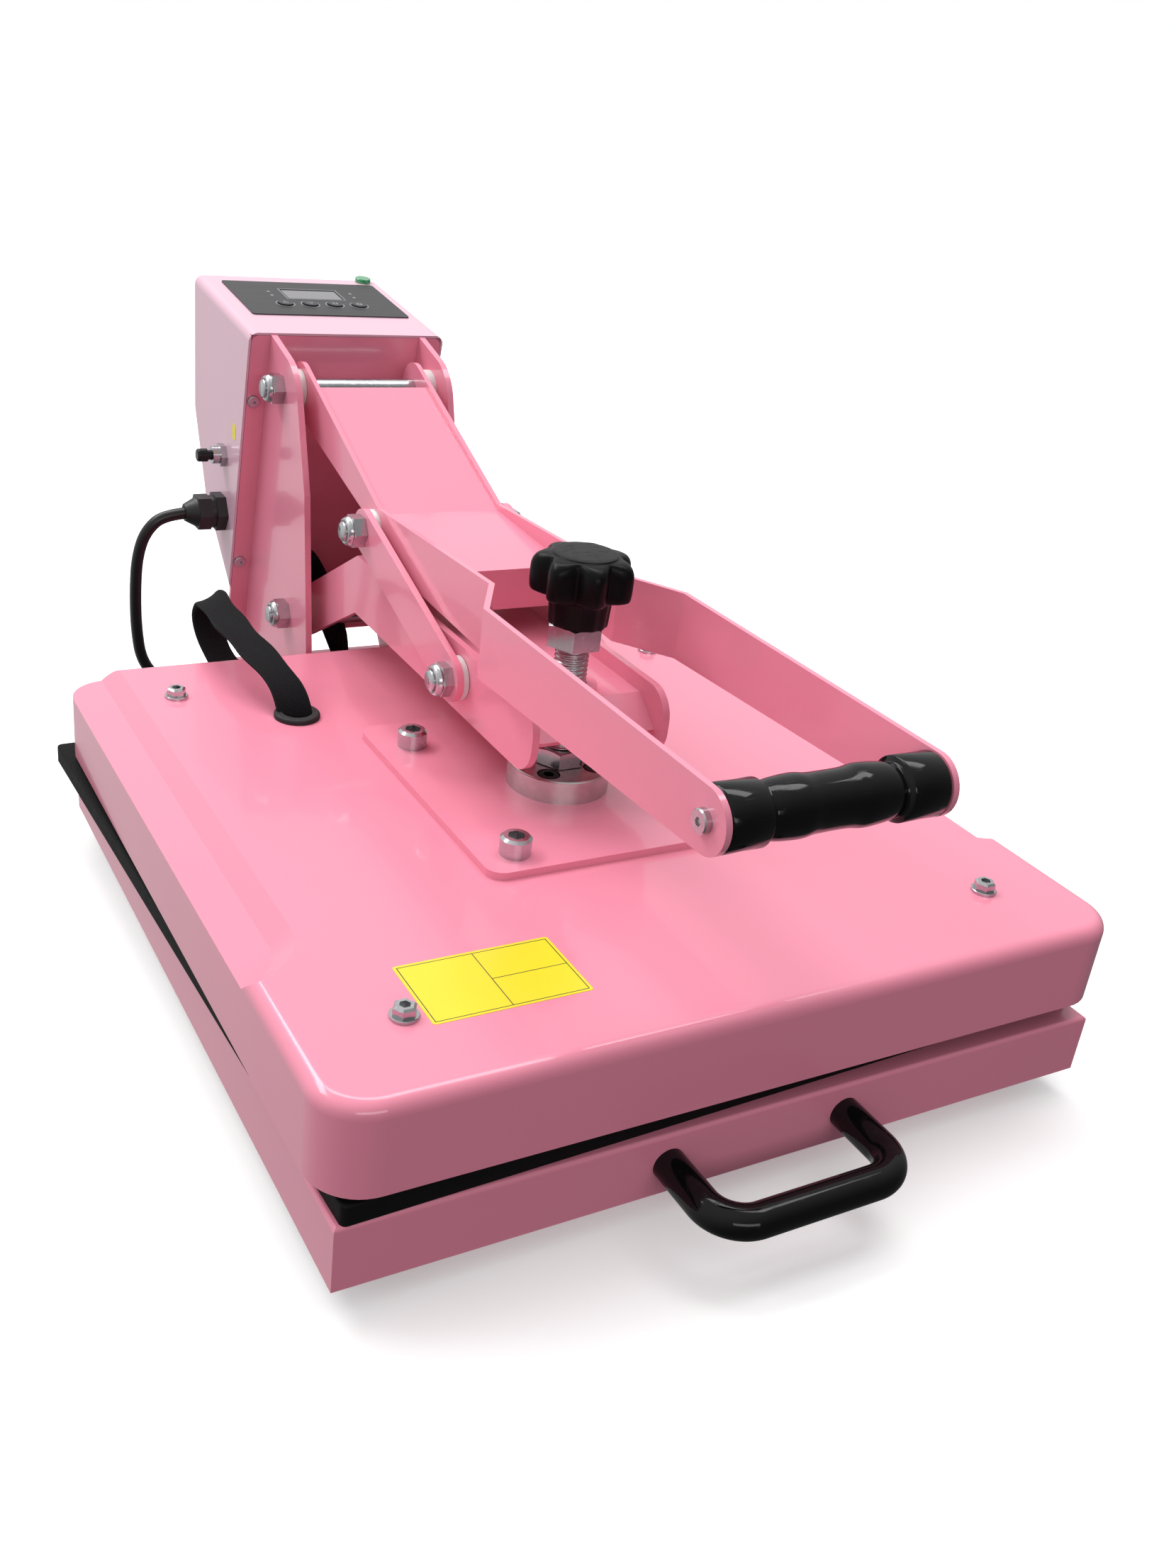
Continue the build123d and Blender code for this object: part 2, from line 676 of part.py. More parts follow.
with BuildPart() as cover_screws:
    with Locations(*[(x, y, cover_top) for x, y in cover_points]):
        add(screw(cover_screw_head_r, 1.6, cover_screw_r, cover_top - plate_top + plate_t - 5.0))
        add(screw(5.4, 6.0, cover_screw_r, 1.0, socket_r=2.6, sides=6))
save(cover_screws.part, "cover_screws")

rod_socket = mount_top + 2.0
with BuildPart() as flange:
    with BuildSketch(Plane.XY.offset(mount_top)):
        with Locations((0, spindle_y)):
            Circle(flange_r)
    extrude(amount=flange_h)
    chamfer(flange.faces().sort_by(Axis.Z)[-1].edges(), length=0.8)
    with BuildSketch(Plane.XY.offset(rod_socket)):
        with Locations((0, spindle_y)):
            Circle(rod_r + rod_clear)
    extrude(amount=flange_h, mode=Mode.SUBTRACT)
    with BuildSketch(Plane.XY.offset(flange_top)):
        with Locations((0, spindle_y)):
            with PolarLocations(flange_screw_ring, 4, 45):
                Circle(flange_screw_head_r + 0.2)
    extrude(amount=-5.5, mode=Mode.SUBTRACT)
    with BuildSketch(Plane.XY.offset(flange_top)):
        with Locations((0, spindle_y)):
            with PolarLocations(flange_screw_ring, 4, 45):
                Circle(flange_screw_r + 0.05)
    extrude(amount=-flange_h, mode=Mode.SUBTRACT)
save(flange.part, "flange")

with BuildPart() as flange_screws:
    with Locations((0, spindle_y, flange_top - 5.5)):
        with PolarLocations(flange_screw_ring, 4, 45):
            add(screw(flange_screw_head_r, 5.5, flange_screw_r, flange_h - 6.0, socket_r=3.0))
save(flange_screws.part, "flange_screws")

with BuildPart() as grommet:
    with Locations((grommet_x, grommet_y, cover_top - 4.0)):
        Cylinder(grommet_r - 2.2, 4.0, align=(Align.CENTER, Align.CENTER, Align.MIN))
        with Locations((0, 0, 4.0)):
            Cylinder(grommet_r, 3.0, align=(Align.CENTER, Align.CENTER, Align.MIN))
    fillet(grommet.edges().filter_by(GeomType.CIRCLE).sort_by(Axis.Z)[-1], radius=1.6)
    with Locations((grommet_x, grommet_y, cover_top)):
        Cylinder(grommet_bore, 20.0, mode=Mode.SUBTRACT)
save(grommet.part, "grommet")

# ---------------------------------------------------------------- spindle
with BuildPart() as spindle_rod:
    with BuildSketch(Plane.XY.offset(rod_socket + 0.4)):
        with Locations((0, spindle_y)):
            Circle(rod_r)
    extrude(amount=hub_bottom + knob_hub_h - rod_socket)
    chamfer(spindle_rod.edges().filter_by(GeomType.CIRCLE), length=1.0)
save(spindle_rod.part, "spindle_rod")

with BuildPart() as spindle_nuts:
    with Locations((0, spindle_y, flange_top + 0.4)):
        add(nut(nut_af - 3.0, foot_nut_h, rod_r))
    with Locations((0, spindle_y, lock_nut_bottom)):
        add(nut(nut_af, lock_nut_h, rod_r))
save(spindle_nuts.part, "spindle_nuts")

with BuildPart() as knob:
    with BuildSketch(Plane.XY.offset(hub_bottom)):
        with Locations((0, spindle_y)):
            Circle(knob_hub_r - 1.5)
    extrude(amount=knob_hub_h, taper=-5)
    with BuildSketch(Plane.XY.offset(knob_bottom)) as star:
        with Locations((0, spindle_y)):
            Circle(knob_r - 5.0)
            with PolarLocations(knob_r - 7.5, knob_lobes):
                Circle(7.5)
    extrude(amount=knob_h - 5.0)
    with Locations((0, spindle_y, knob_bottom + knob_h - 5.0)):
        Cone(knob_r - 4.5, knob_r - 15.0, 5.0, align=(Align.CENTER, Align.CENTER, Align.MIN))
    with BuildSketch(Plane.XY.offset(hub_bottom)):
        with Locations((0, spindle_y)):
            Circle(rod_r)
    extrude(amount=knob_hub_h + 0.4 + 2.0, mode=Mode.SUBTRACT)
save(knob.part, "knob")


# ---------------------------------------------------------------- platen arm
def channel_profile():
    """Side outline of the arm: a level beam with a leg that drops back to its pivot."""
    top_touch = touch((channel_knee, channel_top), pivot_arm, channel_end_r, 1)
    low_touch = touch((channel_knee, channel_bottom + 1.5), pivot_arm, channel_end_r, -1)
    with BuildSketch(Plane.YZ.offset(yoke_out - channel_t)) as outline:
        Polygon(
            (channel_front, channel_top),
            (channel_knee, channel_top),
            top_touch,
            pivot_arm,
            low_touch,
            (channel_knee, channel_bottom + 1.5),
            (channel_front, channel_bottom),
            align=None,
        )
        fillet(outline.vertices().sort_by(Axis.X)[:2], radius=channel_nose_r)
        with Locations(pivot_arm):
            Circle(channel_end_r)
            Circle(pin_r + pin_clear, mode=Mode.SUBTRACT)
    return outline.sketch


with BuildPart() as arm_cheek_right:
    extrude(channel_profile(), amount=channel_t)
save(arm_cheek_right.part, "arm_cheek_right")

with BuildPart() as arm_cheek_left:
    add(mirror(arm_cheek_right.part, about=Plane.YZ))
save(arm_cheek_left.part, "arm_cheek_left")

channel_web_top = channel_top - 8.5
channel_in = yoke_out - channel_t
web_rear = channel_knee - 3.0
with BuildPart() as arm_web:
    with BuildSketch(Plane.YZ.offset(-channel_in)):
        Polygon(
            *strip(
                [
                    (web_rear, channel_web_top),
                    (channel_front + 25.0, channel_web_top),
                    (channel_front + 7.0, channel_web_top - 14.0),
                ],
                channel_web_t,
            ),
            align=None,
        )
    extrude(amount=2 * channel_in)
    with Locations((0, spindle_y, channel_web_top)):
        Cylinder(15.0, 40.0, mode=Mode.SUBTRACT)
    with BuildSketch(Plane.XY.offset(channel_web_top - channel_web_t - 14.0)):
        with Locations((0, spindle_y)):
            Circle(15.0)
            Circle(rod_r + rod_clear, mode=Mode.SUBTRACT)
    extrude(amount=22.0)
save(arm_web.part, "arm_web")

with BuildPart() as arm_spacer:
    with BuildSketch(Plane.YZ.offset(-channel_in)):
        with Locations(pivot_arm):
            Circle(10.0)
            Circle(pin_r + pin_clear, mode=Mode.SUBTRACT)
    extrude(amount=2 * channel_in)
save(arm_spacer.part, "arm_spacer")


# ---------------------------------------------------------------- handle
def handle_profile():
    """Side outline of one handle plate, from its pivot to the grip."""
    rise = (78.0, 208.0)
    crown = (jog_rear, 214.0)
    belly = (20.0, 179.5)
    neck = (jog_rear, 176.5)
    top_grip = (pivot_grip[0], pivot_grip[1] + grip_end_r)
    low_grip = touch(neck, pivot_grip, grip_end_r, -1)
    with BuildSketch(Plane.YZ.offset(yoke_in)) as outline:
        Polygon(
            rise,
            crown,
            top_grip,
            pivot_grip,
            low_grip,
            neck,
            belly,
            touch(belly, pivot_handle, yoke_end_r, -1),
            pivot_handle,
            touch(rise, pivot_handle, yoke_end_r, 1),
            align=None,
        )
        with Locations(pivot_handle):
            Circle(yoke_end_r)
        with Locations(pivot_grip):
            Circle(grip_end_r)
        with Locations(pivot_handle):
            Circle(pin_r + pin_clear, mode=Mode.SUBTRACT)
        with Locations(pivot_knee):
            Circle(pin_r, mode=Mode.SUBTRACT)
        with Locations(pivot_grip):
            Circle(3.0, mode=Mode.SUBTRACT)
    return outline.sketch


jog_run = [
    (yoke_out, 260.0),
    (yoke_out, jog_rear),
    (arm_out_grip, jog_front),
    (arm_out_grip, -340.0),
]
with BuildPart() as handle_plate_right:
    extrude(handle_profile(), amount=arm_out_grip)
    with BuildSketch():
        Polygon(*strip(jog_run, -yoke_t), align=None)
    extrude(amount=400.0, mode=Mode.INTERSECT)
save(handle_plate_right.part, "handle_plate_right")

with BuildPart() as handle_plate_left:
    add(mirror(handle_plate_right.part, about=Plane.YZ))
save(handle_plate_left.part, "handle_plate_left")

web_line = [(-13.0, 177.0), (-13.0, 200.0), (76.0, 205.0), (191.0, 251.0)]
with BuildPart() as yoke_web:
    with BuildSketch(Plane.YZ.offset(-yoke_in)):
        Polygon(*strip(web_line, -web_t), align=None)
    extrude(amount=2 * yoke_in)
save(yoke_web.part, "yoke_web")

grip_half = arm_out_grip - yoke_t - 0.2
with BuildPart() as grip:
    with BuildSketch(Plane.XY.offset(pivot_grip[1])):
        with BuildLine():
            shape = [
                (-grip_half, grip_r),
                (-grip_half + 20.0, grip_r),
                (-grip_half + 24.0, grip_waist_r),
                (-grip_half + 40.0, grip_r - 0.6),
                (0.0, grip_waist_r),
                (grip_half - 40.0, grip_r - 0.6),
                (grip_half - 24.0, grip_waist_r),
                (grip_half - 20.0, grip_r),
                (grip_half, grip_r),
            ]
            points = [(x, pivot_grip[0] + r) for x, r in shape]
            hollow = pivot_grip[0] + 5.0
            Polyline(*points, (grip_half, hollow), (-grip_half, hollow), close=True)
        make_face()
    revolve(axis=Axis((0, pivot_grip[0], pivot_grip[1]), (1, 0, 0)))
save(grip.part, "grip")

with BuildPart() as grip_bolt:
    with BuildSketch(Plane.YZ.offset(-grip_half)):
        with Locations(pivot_grip):
            Circle(4.95)
    extrude(amount=2 * grip_half)
    for side in (-1, 1):
        with Locations(outward(side, arm_out_grip, pivot_grip)):
            add(screw(5.4, 3.2, 2.95, yoke_t + 2.0, socket_r=2.0))
save(grip_bolt.part, "grip_bolt")


# ---------------------------------------------------------------- pivots and links
def through_bolts(places, name):
    """Bolts across the press, (pivot, outer face): head on the right, lock nut on the left."""
    with BuildPart() as bolts:
        for pivot, outer in places:
            with Locations(outward(1, outer, pivot)):
                add(screw(nut_r, nut_h * 0.8, pin_r, 2 * outer + nut_h + 1.0, sides=6))
            with Locations(outward(-1, outer, pivot)):
                add(nut(nut_r * 1.8, nut_h, pin_r + 0.02))
    save(bolts.part, name)


def washers(places, bore, name):
    """White nylon washers between two plates, (pivot, inner face, outer face), on each side."""
    with BuildPart() as rings:
        for pivot, inner, outer in places:
            for side in (-1, 1):
                with BuildSketch(outward(side, inner, pivot)):
                    Circle(washer_r)
                    Circle(bore, mode=Mode.SUBTRACT)
                extrude(amount=outer - inner)
    save(rings.part, name)


pin_pivots = (pivot_handle, pivot_arm)
through_bolts([(pivot, cheek_out) for pivot in pin_pivots], "pivot_bolts")
washers([(pivot, yoke_out + side_clear, cheek_in) for pivot in pin_pivots], pin_r, "pivot_washers")
through_bolts([(pivot_knee, link_out + side_clear)], "knee_bolt")
washers([(pivot_knee, yoke_out, link_in - side_clear)], pin_r, "knee_washers")
washers([(pivot_front, yoke_out + 2 * side_clear, link_in)], pin_r, "front_washers")

link_run = math.dist(pivot_knee, pivot_front)
link_turn = math.degrees(
    math.atan2(pivot_front[1] - pivot_knee[1], pivot_front[0] - pivot_knee[0])
)
middle = ((pivot_knee[0] + pivot_front[0]) / 2, (pivot_knee[1] + pivot_front[1]) / 2)
with BuildPart() as links:
    for side in (-1, 1):
        with BuildSketch(Plane.YZ.offset(side * link_in)):
            with Locations(middle):
                SlotCenterToCenter(link_run, 2 * link_r, rotation=link_turn)
            with Locations(pivot_knee):
                Circle(pin_r + pin_clear, mode=Mode.SUBTRACT)
            with Locations(pivot_front):
                Circle(pin_r, mode=Mode.SUBTRACT)
        extrude(amount=side * link_t)
save(links.part, "link_plates")

with BuildPart() as front_studs:
    for side in (-1, 1):
        with Locations(outward(side, link_out, pivot_front)):
            add(screw(nut_r, nut_h * 0.8, pin_r, link_out - yoke_out - 2 * side_clear, sides=6))
save(front_studs.part, "front_studs")

# ---------------------------------------------------------------- heater leads in their sleeve
sleeve_r = 4.5
sleeve_route = [
    (grommet_x, grommet_y, cover_top - 6.0),
    (grommet_x, grommet_y + 6.0, cover_top + 14.0),
    (-101.0, 92.0, 121.0),
    (-99.0, 140.0, 121.0),
    (-97.0, 185.0, 114.0),
    (-94.0, 216.0, 98.0),
    (-89.0, 196.0, 76.0),
    (-76.0, 152.0, 67.0),
    (-50.0, 138.5, 65.0),
    (-20.0, 152.0, 62.0),
    (-6.0, 196.0, 61.0),
    (-4.0, 233.0, 78.0),
    (-12.0, 245.0, 105.0),
    (-25.0, 240.0, 124.0),
    (lead_hole[0], face_y(122.0) + 2.0, 122.0),
]


def corner_radii(route):
    """The largest arc that each corner's two runs allow."""
    radii = []
    for before, here, after in zip(route, route[1:], route[2:]):
        first = Vector(*here) - Vector(*before)
        second = Vector(*after) - Vector(*here)
        turn = math.radians(first.get_angle(second))
        radii.append(0.45 * min(first.length, second.length) / math.tan(turn / 2))
    return radii


def tube(routes, radius, name):
    """A cord's tubes along straight runs joined by arcs."""
    with BuildPart() as cord:
        expected = 0.0
        for route in routes:
            radii = corner_radii(route)
            with BuildLine() as path:
                FilletPolyline(*route, radius=radii)
            with BuildSketch(Plane(origin=path.line @ 0, z_dir=path.line % 0)):
                Circle(radius)
            sweep(path=path.line)
            length = sum(edge.length for edge in path.edges())
            expected += math.pi * radius**2 * length
            print(name, "length", round(length), "radii", [round(r) for r in radii])
    print(name, "volume over section times length", round(cord.part.volume / expected, 4))
    save(cord.part, name)


tube([sleeve_route], sleeve_r, "heater_sleeve")

# ---------------------------------------------------------------- power cord
power_cord_route = [
    (-box_w / 2 - 13.0, gland_y, gland_z),
    (-106.0, gland_y, gland_z),
    (-120.0, 286.5, 132.0),
    (-125.5, 289.5, 112.0),
    (-126.0, 294.0, 85.0),
    (-124.5, 299.0, 56.0),
    (-120.0, 304.0, 29.0),
    (-105.0, 309.0, 9.0),
    (-76.0, 312.0, 4.2),
    (-32.0, 312.5, 4.3),
    (14.0, 307.0, 4.2),
    (54.0, 295.0, 4.3),
    (80.0, 272.0, 4.2),
    (94.0, 242.0, 4.3),
]
plug_at = (coil_at[0] - 4.0, coil_at[1] + 73.0)
tail_x = coil_at[0] + coil_mid_r
tail_route = [
    (tail_x, coil_at[1] + 10.0, 4.2),
    (tail_x - 0.5, coil_at[1] + 31.0, 4.2),
    (tail_x - 8.0, coil_at[1] + 51.0, 4.6),
    (tail_x - 23.0, coil_at[1] + 66.0, 7.0),
    (plug_at[0] + 7.0, plug_at[1], 12.0),
]
tube([power_cord_route, tail_route], cord_r, "power_cord")

with BuildPart() as cord_coil:
    with BuildSketch():
        with Locations(coil_at):
            Circle(coil_mid_r + coil_half)
            Circle(coil_mid_r - coil_half, mode=Mode.SUBTRACT)
    extrude(amount=coil_h)
    fillet(cord_coil.edges().filter_by(GeomType.CIRCLE), radius=cord_r - 0.5)
save(cord_coil.part, "cord_coil")

plug_z, plug_len, pin_len = 12.0, 30.0, 17.0
with BuildPart() as plug_body:
    plug_plane = Plane(origin=(plug_at[0], plug_at[1], plug_z), x_dir=(0, 1, 0), z_dir=(-1, 0, 0))
    with BuildSketch(plug_plane):
        RectangleRounded(22.0, 22.0, 6.0)
    extrude(amount=plug_len)
    with BuildSketch(plug_plane):
        Circle(8.0)
    extrude(amount=-8.0, taper=14)
    with BuildSketch(plug_plane.offset(-9.0)):
        Circle(cord_r)
    extrude(amount=9.0, mode=Mode.SUBTRACT)
save(plug_body.part, "plug_body")

with BuildPart() as plug_pins:
    with BuildSketch(plug_plane.offset(plug_len)):
        for side in (-1, 1):
            with Locations((side * 6.3, 3.0)):
                Rectangle(1.6, 6.4)
        with Locations((0, -6.0)):
            Circle(2.4)
    extrude(amount=pin_len)
save(plug_pins.part, "plug_pins")
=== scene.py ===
import math

import bmesh
import bpy
from bpy.props import FloatProperty, FloatVectorProperty, IntProperty, PointerProperty
from mathutils import Matrix, Vector


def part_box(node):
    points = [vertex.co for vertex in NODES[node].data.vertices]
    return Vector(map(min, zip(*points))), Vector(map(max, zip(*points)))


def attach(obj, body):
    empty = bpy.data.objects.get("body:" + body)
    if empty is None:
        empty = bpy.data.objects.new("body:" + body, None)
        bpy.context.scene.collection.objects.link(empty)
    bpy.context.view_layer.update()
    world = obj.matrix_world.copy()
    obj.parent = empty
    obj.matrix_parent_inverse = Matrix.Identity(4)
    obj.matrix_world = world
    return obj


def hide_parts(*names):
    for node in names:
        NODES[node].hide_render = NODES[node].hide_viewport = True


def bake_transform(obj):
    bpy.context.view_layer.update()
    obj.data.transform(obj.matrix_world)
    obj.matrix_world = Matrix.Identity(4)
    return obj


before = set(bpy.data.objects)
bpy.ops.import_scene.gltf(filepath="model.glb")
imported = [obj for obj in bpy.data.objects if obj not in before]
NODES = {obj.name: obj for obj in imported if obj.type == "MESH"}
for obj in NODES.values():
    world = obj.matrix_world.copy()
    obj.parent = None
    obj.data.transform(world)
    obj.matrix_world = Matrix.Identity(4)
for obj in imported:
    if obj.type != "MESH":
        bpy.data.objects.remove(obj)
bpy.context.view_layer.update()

bl_info = {
    "name": "Clamshell heat press",
    "version": (1, 0, 0),
    "blender": (4, 5, 0),
    "location": "3D View > Sidebar > Heat press",
    "description": "Finishes, mains cord, heater lead, threads and labels of a clamshell heat press",
    "category": "Object",
}

MM = 0.001


# ---------------------------------------------------------------- shader expressions
class Field:
    """A number or vector that changes over a surface. Arithmetic on it adds Math nodes."""

    def __init__(self, surface, socket):
        self.surface = surface
        self.socket = socket

    def __add__(self, other):
        return self.surface.math("ADD", self, other)

    def __sub__(self, other):
        return self.surface.math("SUBTRACT", self, other)

    def __rsub__(self, other):
        return self.surface.math("SUBTRACT", other, self)

    def __mul__(self, other):
        return self.surface.math("MULTIPLY", self, other)

    def __truediv__(self, other):
        return self.surface.math("DIVIDE", self, other)

    def __pow__(self, other):
        return self.surface.math("POWER", self, other)

    def __gt__(self, other):
        return self.surface.math("GREATER_THAN", self, other)

    def __lt__(self, other):
        return self.surface.math("LESS_THAN", self, other)

    def __abs__(self):
        return self.surface.math("ABSOLUTE", self)

    __radd__ = __add__
    __rmul__ = __mul__

    def sine(self):
        return self.surface.math("SINE", self)

    def larger(self, other):
        return self.surface.math("MAXIMUM", self, other)


class Surface:
    """One procedural material, built around a Principled shader."""

    def __init__(self, name):
        self.material = bpy.data.materials.new(name)
        self.material.use_nodes = True
        self.tree = self.material.node_tree
        self.tree.nodes.clear()
        self.shader = self.tree.nodes.new("ShaderNodeBsdfPrincipled")
        output = self.tree.nodes.new("ShaderNodeOutputMaterial")
        self.tree.links.new(self.shader.outputs[0], output.inputs[0])
        self.place = self.node("ShaderNodeTexCoord", output="Object")

    def node(self, kind, settings=None, inputs=None, output=0):
        """Adds a node: its settings first, then the values or links of its sockets."""
        made = self.tree.nodes.new(kind)
        for key, value in (settings or {}).items():
            if key == "stops":
                for spare in list(made.color_ramp.elements)[1:]:
                    made.color_ramp.elements.remove(spare)
                made.color_ramp.elements[0].position = value[0][0]
                made.color_ramp.elements[0].color = value[0][1]
                for position, colour in value[1:]:
                    made.color_ramp.elements.new(position).color = colour
            else:
                setattr(made, key, value)
        for key, value in (inputs or {}).items():
            if isinstance(value, Field):
                self.tree.links.new(value.socket, made.inputs[key])
            else:
                made.inputs[key].default_value = value
        return Field(self, made.outputs[output])

    def math(self, operation, *values):
        return self.node("ShaderNodeMath", {"operation": operation}, dict(enumerate(values)))

    def noise(self, scale, detail=2.0, roughness=0.5, where=None):
        sockets = {"Vector": where or self.place, "Scale": scale, "Detail": detail,
                   "Roughness": roughness}
        return self.node("ShaderNodeTexNoise", inputs=sockets)

    def cells(self, scale, where=None):
        """Distance to the nearest of many scattered points."""
        return self.node("ShaderNodeTexVoronoi", inputs={"Vector": where or self.place, "Scale": scale})

    def stretched(self, scale, offset=(0.0, 0.0, 0.0)):
        return self.node(
            "ShaderNodeMapping", inputs={"Vector": self.place, "Location": offset, "Scale": scale}
        )

    def axis(self, letter, where=None):
        return self.node("ShaderNodeSeparateXYZ", inputs={0: where or self.place}, output=letter)

    def between(self, share, low, high):
        """Colour between two, by a share from 0 to 1."""
        return self.node("ShaderNodeMix", {"data_type": "RGBA"}, {0: share, 6: low, 7: high}, 2)

    def step(self, value, low, high):
        """Smooth step of a value from 0 at low to 1 at high."""
        return self.node(
            "ShaderNodeMapRange", {"interpolation_type": "SMOOTHSTEP"},
            {"Value": value, "From Min": low, "From Max": high},
        )

    def relief(self, height, depth, strength=1.0):
        """Surface relief of the given depth in metres."""
        normal = self.node(
            "ShaderNodeBump", inputs={"Height": height, "Distance": depth, "Strength": strength}
        )
        self.set(Normal=normal)

    def set(self, **sockets):
        """Links or sets the shader's sockets; an underscore stands for a space."""
        for key, value in sockets.items():
            socket = self.shader.inputs[key.replace("_", " ")]
            if isinstance(value, Field):
                self.tree.links.new(value.socket, socket)
            else:
                socket.default_value = value
        return self.material


def tint(colour, factor):
    """A colour made lighter or darker, with full alpha."""
    return tuple(min(1.0, c * factor) for c in colour[:3]) + (1.0,)


def paint_nodes(material, *names):
    """Gives CAD nodes a material."""
    for name in names:
        slots = NODES[name].material_slots
        if not slots:
            NODES[name].data.materials.append(material)
        for slot in slots:
            slot.material = material


def powder_coat(name, colour, gloss):
    """Baked powder coat: faint orange peel, soft mottling, handling smears and a few specks."""
    s = Surface(name)
    mottle = s.noise(5.0, 1.0)
    smear = s.noise(9.0, 2.0, 0.45)
    peel = s.noise(330.0, 1.0, 0.4)
    speck = s.step(s.cells(150.0), 0.060, 0.035) * s.step(s.noise(60.0), 0.60, 0.68)
    base = s.between(mottle, tint(colour, 0.98), tint(colour, 1.02))
    base = s.between(speck * 0.22, base, tint(colour, 0.45))
    s.relief(peel, 0.00004, 0.16)
    return s.set(
        Base_Color=base, Roughness=s.step(smear, 0.25, 0.8) * 0.05 + gloss,
        Coat_Weight=0.4, Coat_Roughness=0.05, Specular_IOR_Level=0.4,
    )


def plated_steel(name, colour, dullness, grain):
    """Bright plated steel: fine brushing, tarnish clouds and hairline scratches."""
    s = Surface(name)
    cloud = s.noise(60.0, 4.0, 0.6)
    brush = s.noise(1.0, 3.0, 0.6, s.stretched((1400.0, 240.0, 1400.0)))
    hairline = s.step(s.noise(1.0, 1.0, 0.4, s.stretched((260.0, 2600.0, 400.0))), 0.66, 0.72)
    s.relief(brush * grain + hairline * -0.6, 0.00003, 0.5)
    base = s.between(s.step(cloud, 0.3, 0.75), tint(colour, 0.86), tint(colour, 1.05))
    return s.set(
        Base_Color=base, Metallic=1.0,
        Roughness=cloud * 0.16 + brush * (0.10 * grain) + hairline * 0.12 + dullness,
    )


def turned_steel(name, colour, centre):
    """Steel faced on a lathe: fine rings about its own axis."""
    s = Surface(name)
    local = s.stretched((1.0, 1.0, 1.0), (-centre[0], -centre[1], 0.0))
    across, along = s.axis("X", local), s.axis("Y", local)
    radius = (across * across + along * along) ** 0.5
    rings = (radius * (math.tau / 0.00055) + s.noise(90.0, 2.0) * 5.0).sine()
    height = (s.axis("Z") * (math.tau / 0.0008)).sine()
    cloud = s.noise(70.0, 4.0, 0.6)
    s.relief(rings * 0.5 + height * 0.5 + cloud, 0.00004, 0.55)
    base = s.between(s.step(cloud, 0.25, 0.8), tint(colour, 0.82), tint(colour, 1.06))
    return s.set(Base_Color=base, Metallic=1.0, Roughness=rings * 0.05 + cloud * 0.15 + 0.24)


def moulded_gloss(name, colour, dullness=0.12, shine=0.3):
    """Glossy moulded plastic: flow ripple, fingerprints, hairlines and settled dust."""
    s = Surface(name)
    flow = s.noise(38.0, 2.0)
    print_marks = s.noise(1.0, 3.0, 0.5, s.stretched((140.0, 420.0, 140.0)))
    hairline = s.step(s.noise(1.0, 1.0, 0.4, s.stretched((90.0, 1500.0, 900.0))), 0.67, 0.71)
    dust = s.step(s.noise(620.0, 3.0, 0.7), 0.66, 0.80)
    s.relief(flow * 1.2 + hairline * -0.2, 0.00012, 0.35)
    base = s.between(dust * 0.05, tint(colour, 1.0), (0.16, 0.15, 0.15, 1.0))
    return s.set(
        Base_Color=base, Roughness=s.step(print_marks, 0.45, 0.75) * 0.13 + hairline * 0.15 + dullness,
        Specular_IOR_Level=shine, IOR=1.45,
    )


def moulded_matte(name, colour, roughness=0.45, grain=650.0):
    """Spark-eroded moulded plastic or rubber with fine grain and scuffs."""
    s = Surface(name)
    leather = s.cells(grain)
    scuff = s.step(s.noise(45.0, 5.0, 0.7), 0.55, 0.8)
    s.relief(leather + s.noise(grain * 1.7), 0.00008, 0.45)
    scuffed = (colour[0] + 0.02, colour[1] + 0.02, colour[2] + 0.02)
    base = s.between(scuff * 0.3, tint(colour, 1.0), tint(scuffed, 1.0))
    return s.set(Base_Color=base, Roughness=scuff * 0.14 + leather * 0.08 + roughness)


def foam_silicone(name, colour):
    """Open-skinned silicone foam with pinholes and lint."""
    s = Surface(name)
    pores = s.step(s.cells(430.0), 0.32, 0.12)
    swell = s.noise(120.0, 3.0)
    lint = s.step(s.noise(1.0, 2.0, 0.5, s.stretched((700.0, 90.0, 700.0))), 0.68, 0.76)
    s.relief(swell * 0.8 + pores * -1.0, 0.00022, 0.5)
    base = s.between(swell, tint(colour, 0.8), tint(colour, 1.25))
    base = s.between(lint * 0.10, base, (0.14, 0.13, 0.13, 1.0))
    return s.set(Base_Color=base, Roughness=swell * 0.15 + pores * 0.12 + 0.55, Specular_IOR_Level=0.10)


def nylon(name, colour):
    """Natural nylon: waxy, slightly clouded, with turning marks."""
    s = Surface(name)
    cloud = s.noise(85.0, 3.0)
    turning = (s.axis("Z") * (math.tau / 0.0009)).sine()
    s.relief(turning * 0.4 + s.noise(600.0), 0.00004, 0.4)
    base = s.between(cloud, tint(colour, 0.93), tint(colour, 1.03))
    return s.set(Base_Color=base, Roughness=cloud * 0.12 + 0.34, Subsurface_Weight=0.12)


def mineral_wool(name, colour):
    """Compressed fibres, laid mostly flat."""
    s = Surface(name)
    fibres = s.noise(1.0, 5.0, 0.7, s.stretched((900.0, 160.0, 700.0)))
    crossing = s.noise(1.0, 5.0, 0.7, s.stretched((170.0, 900.0, 700.0)))
    s.relief(fibres + crossing, 0.0006, 0.8)
    base = s.between(fibres * crossing * 2.4, tint(colour, 0.72), tint(colour, 1.08))
    return s.set(Base_Color=base, Roughness=crossing * 0.1 + 0.85)


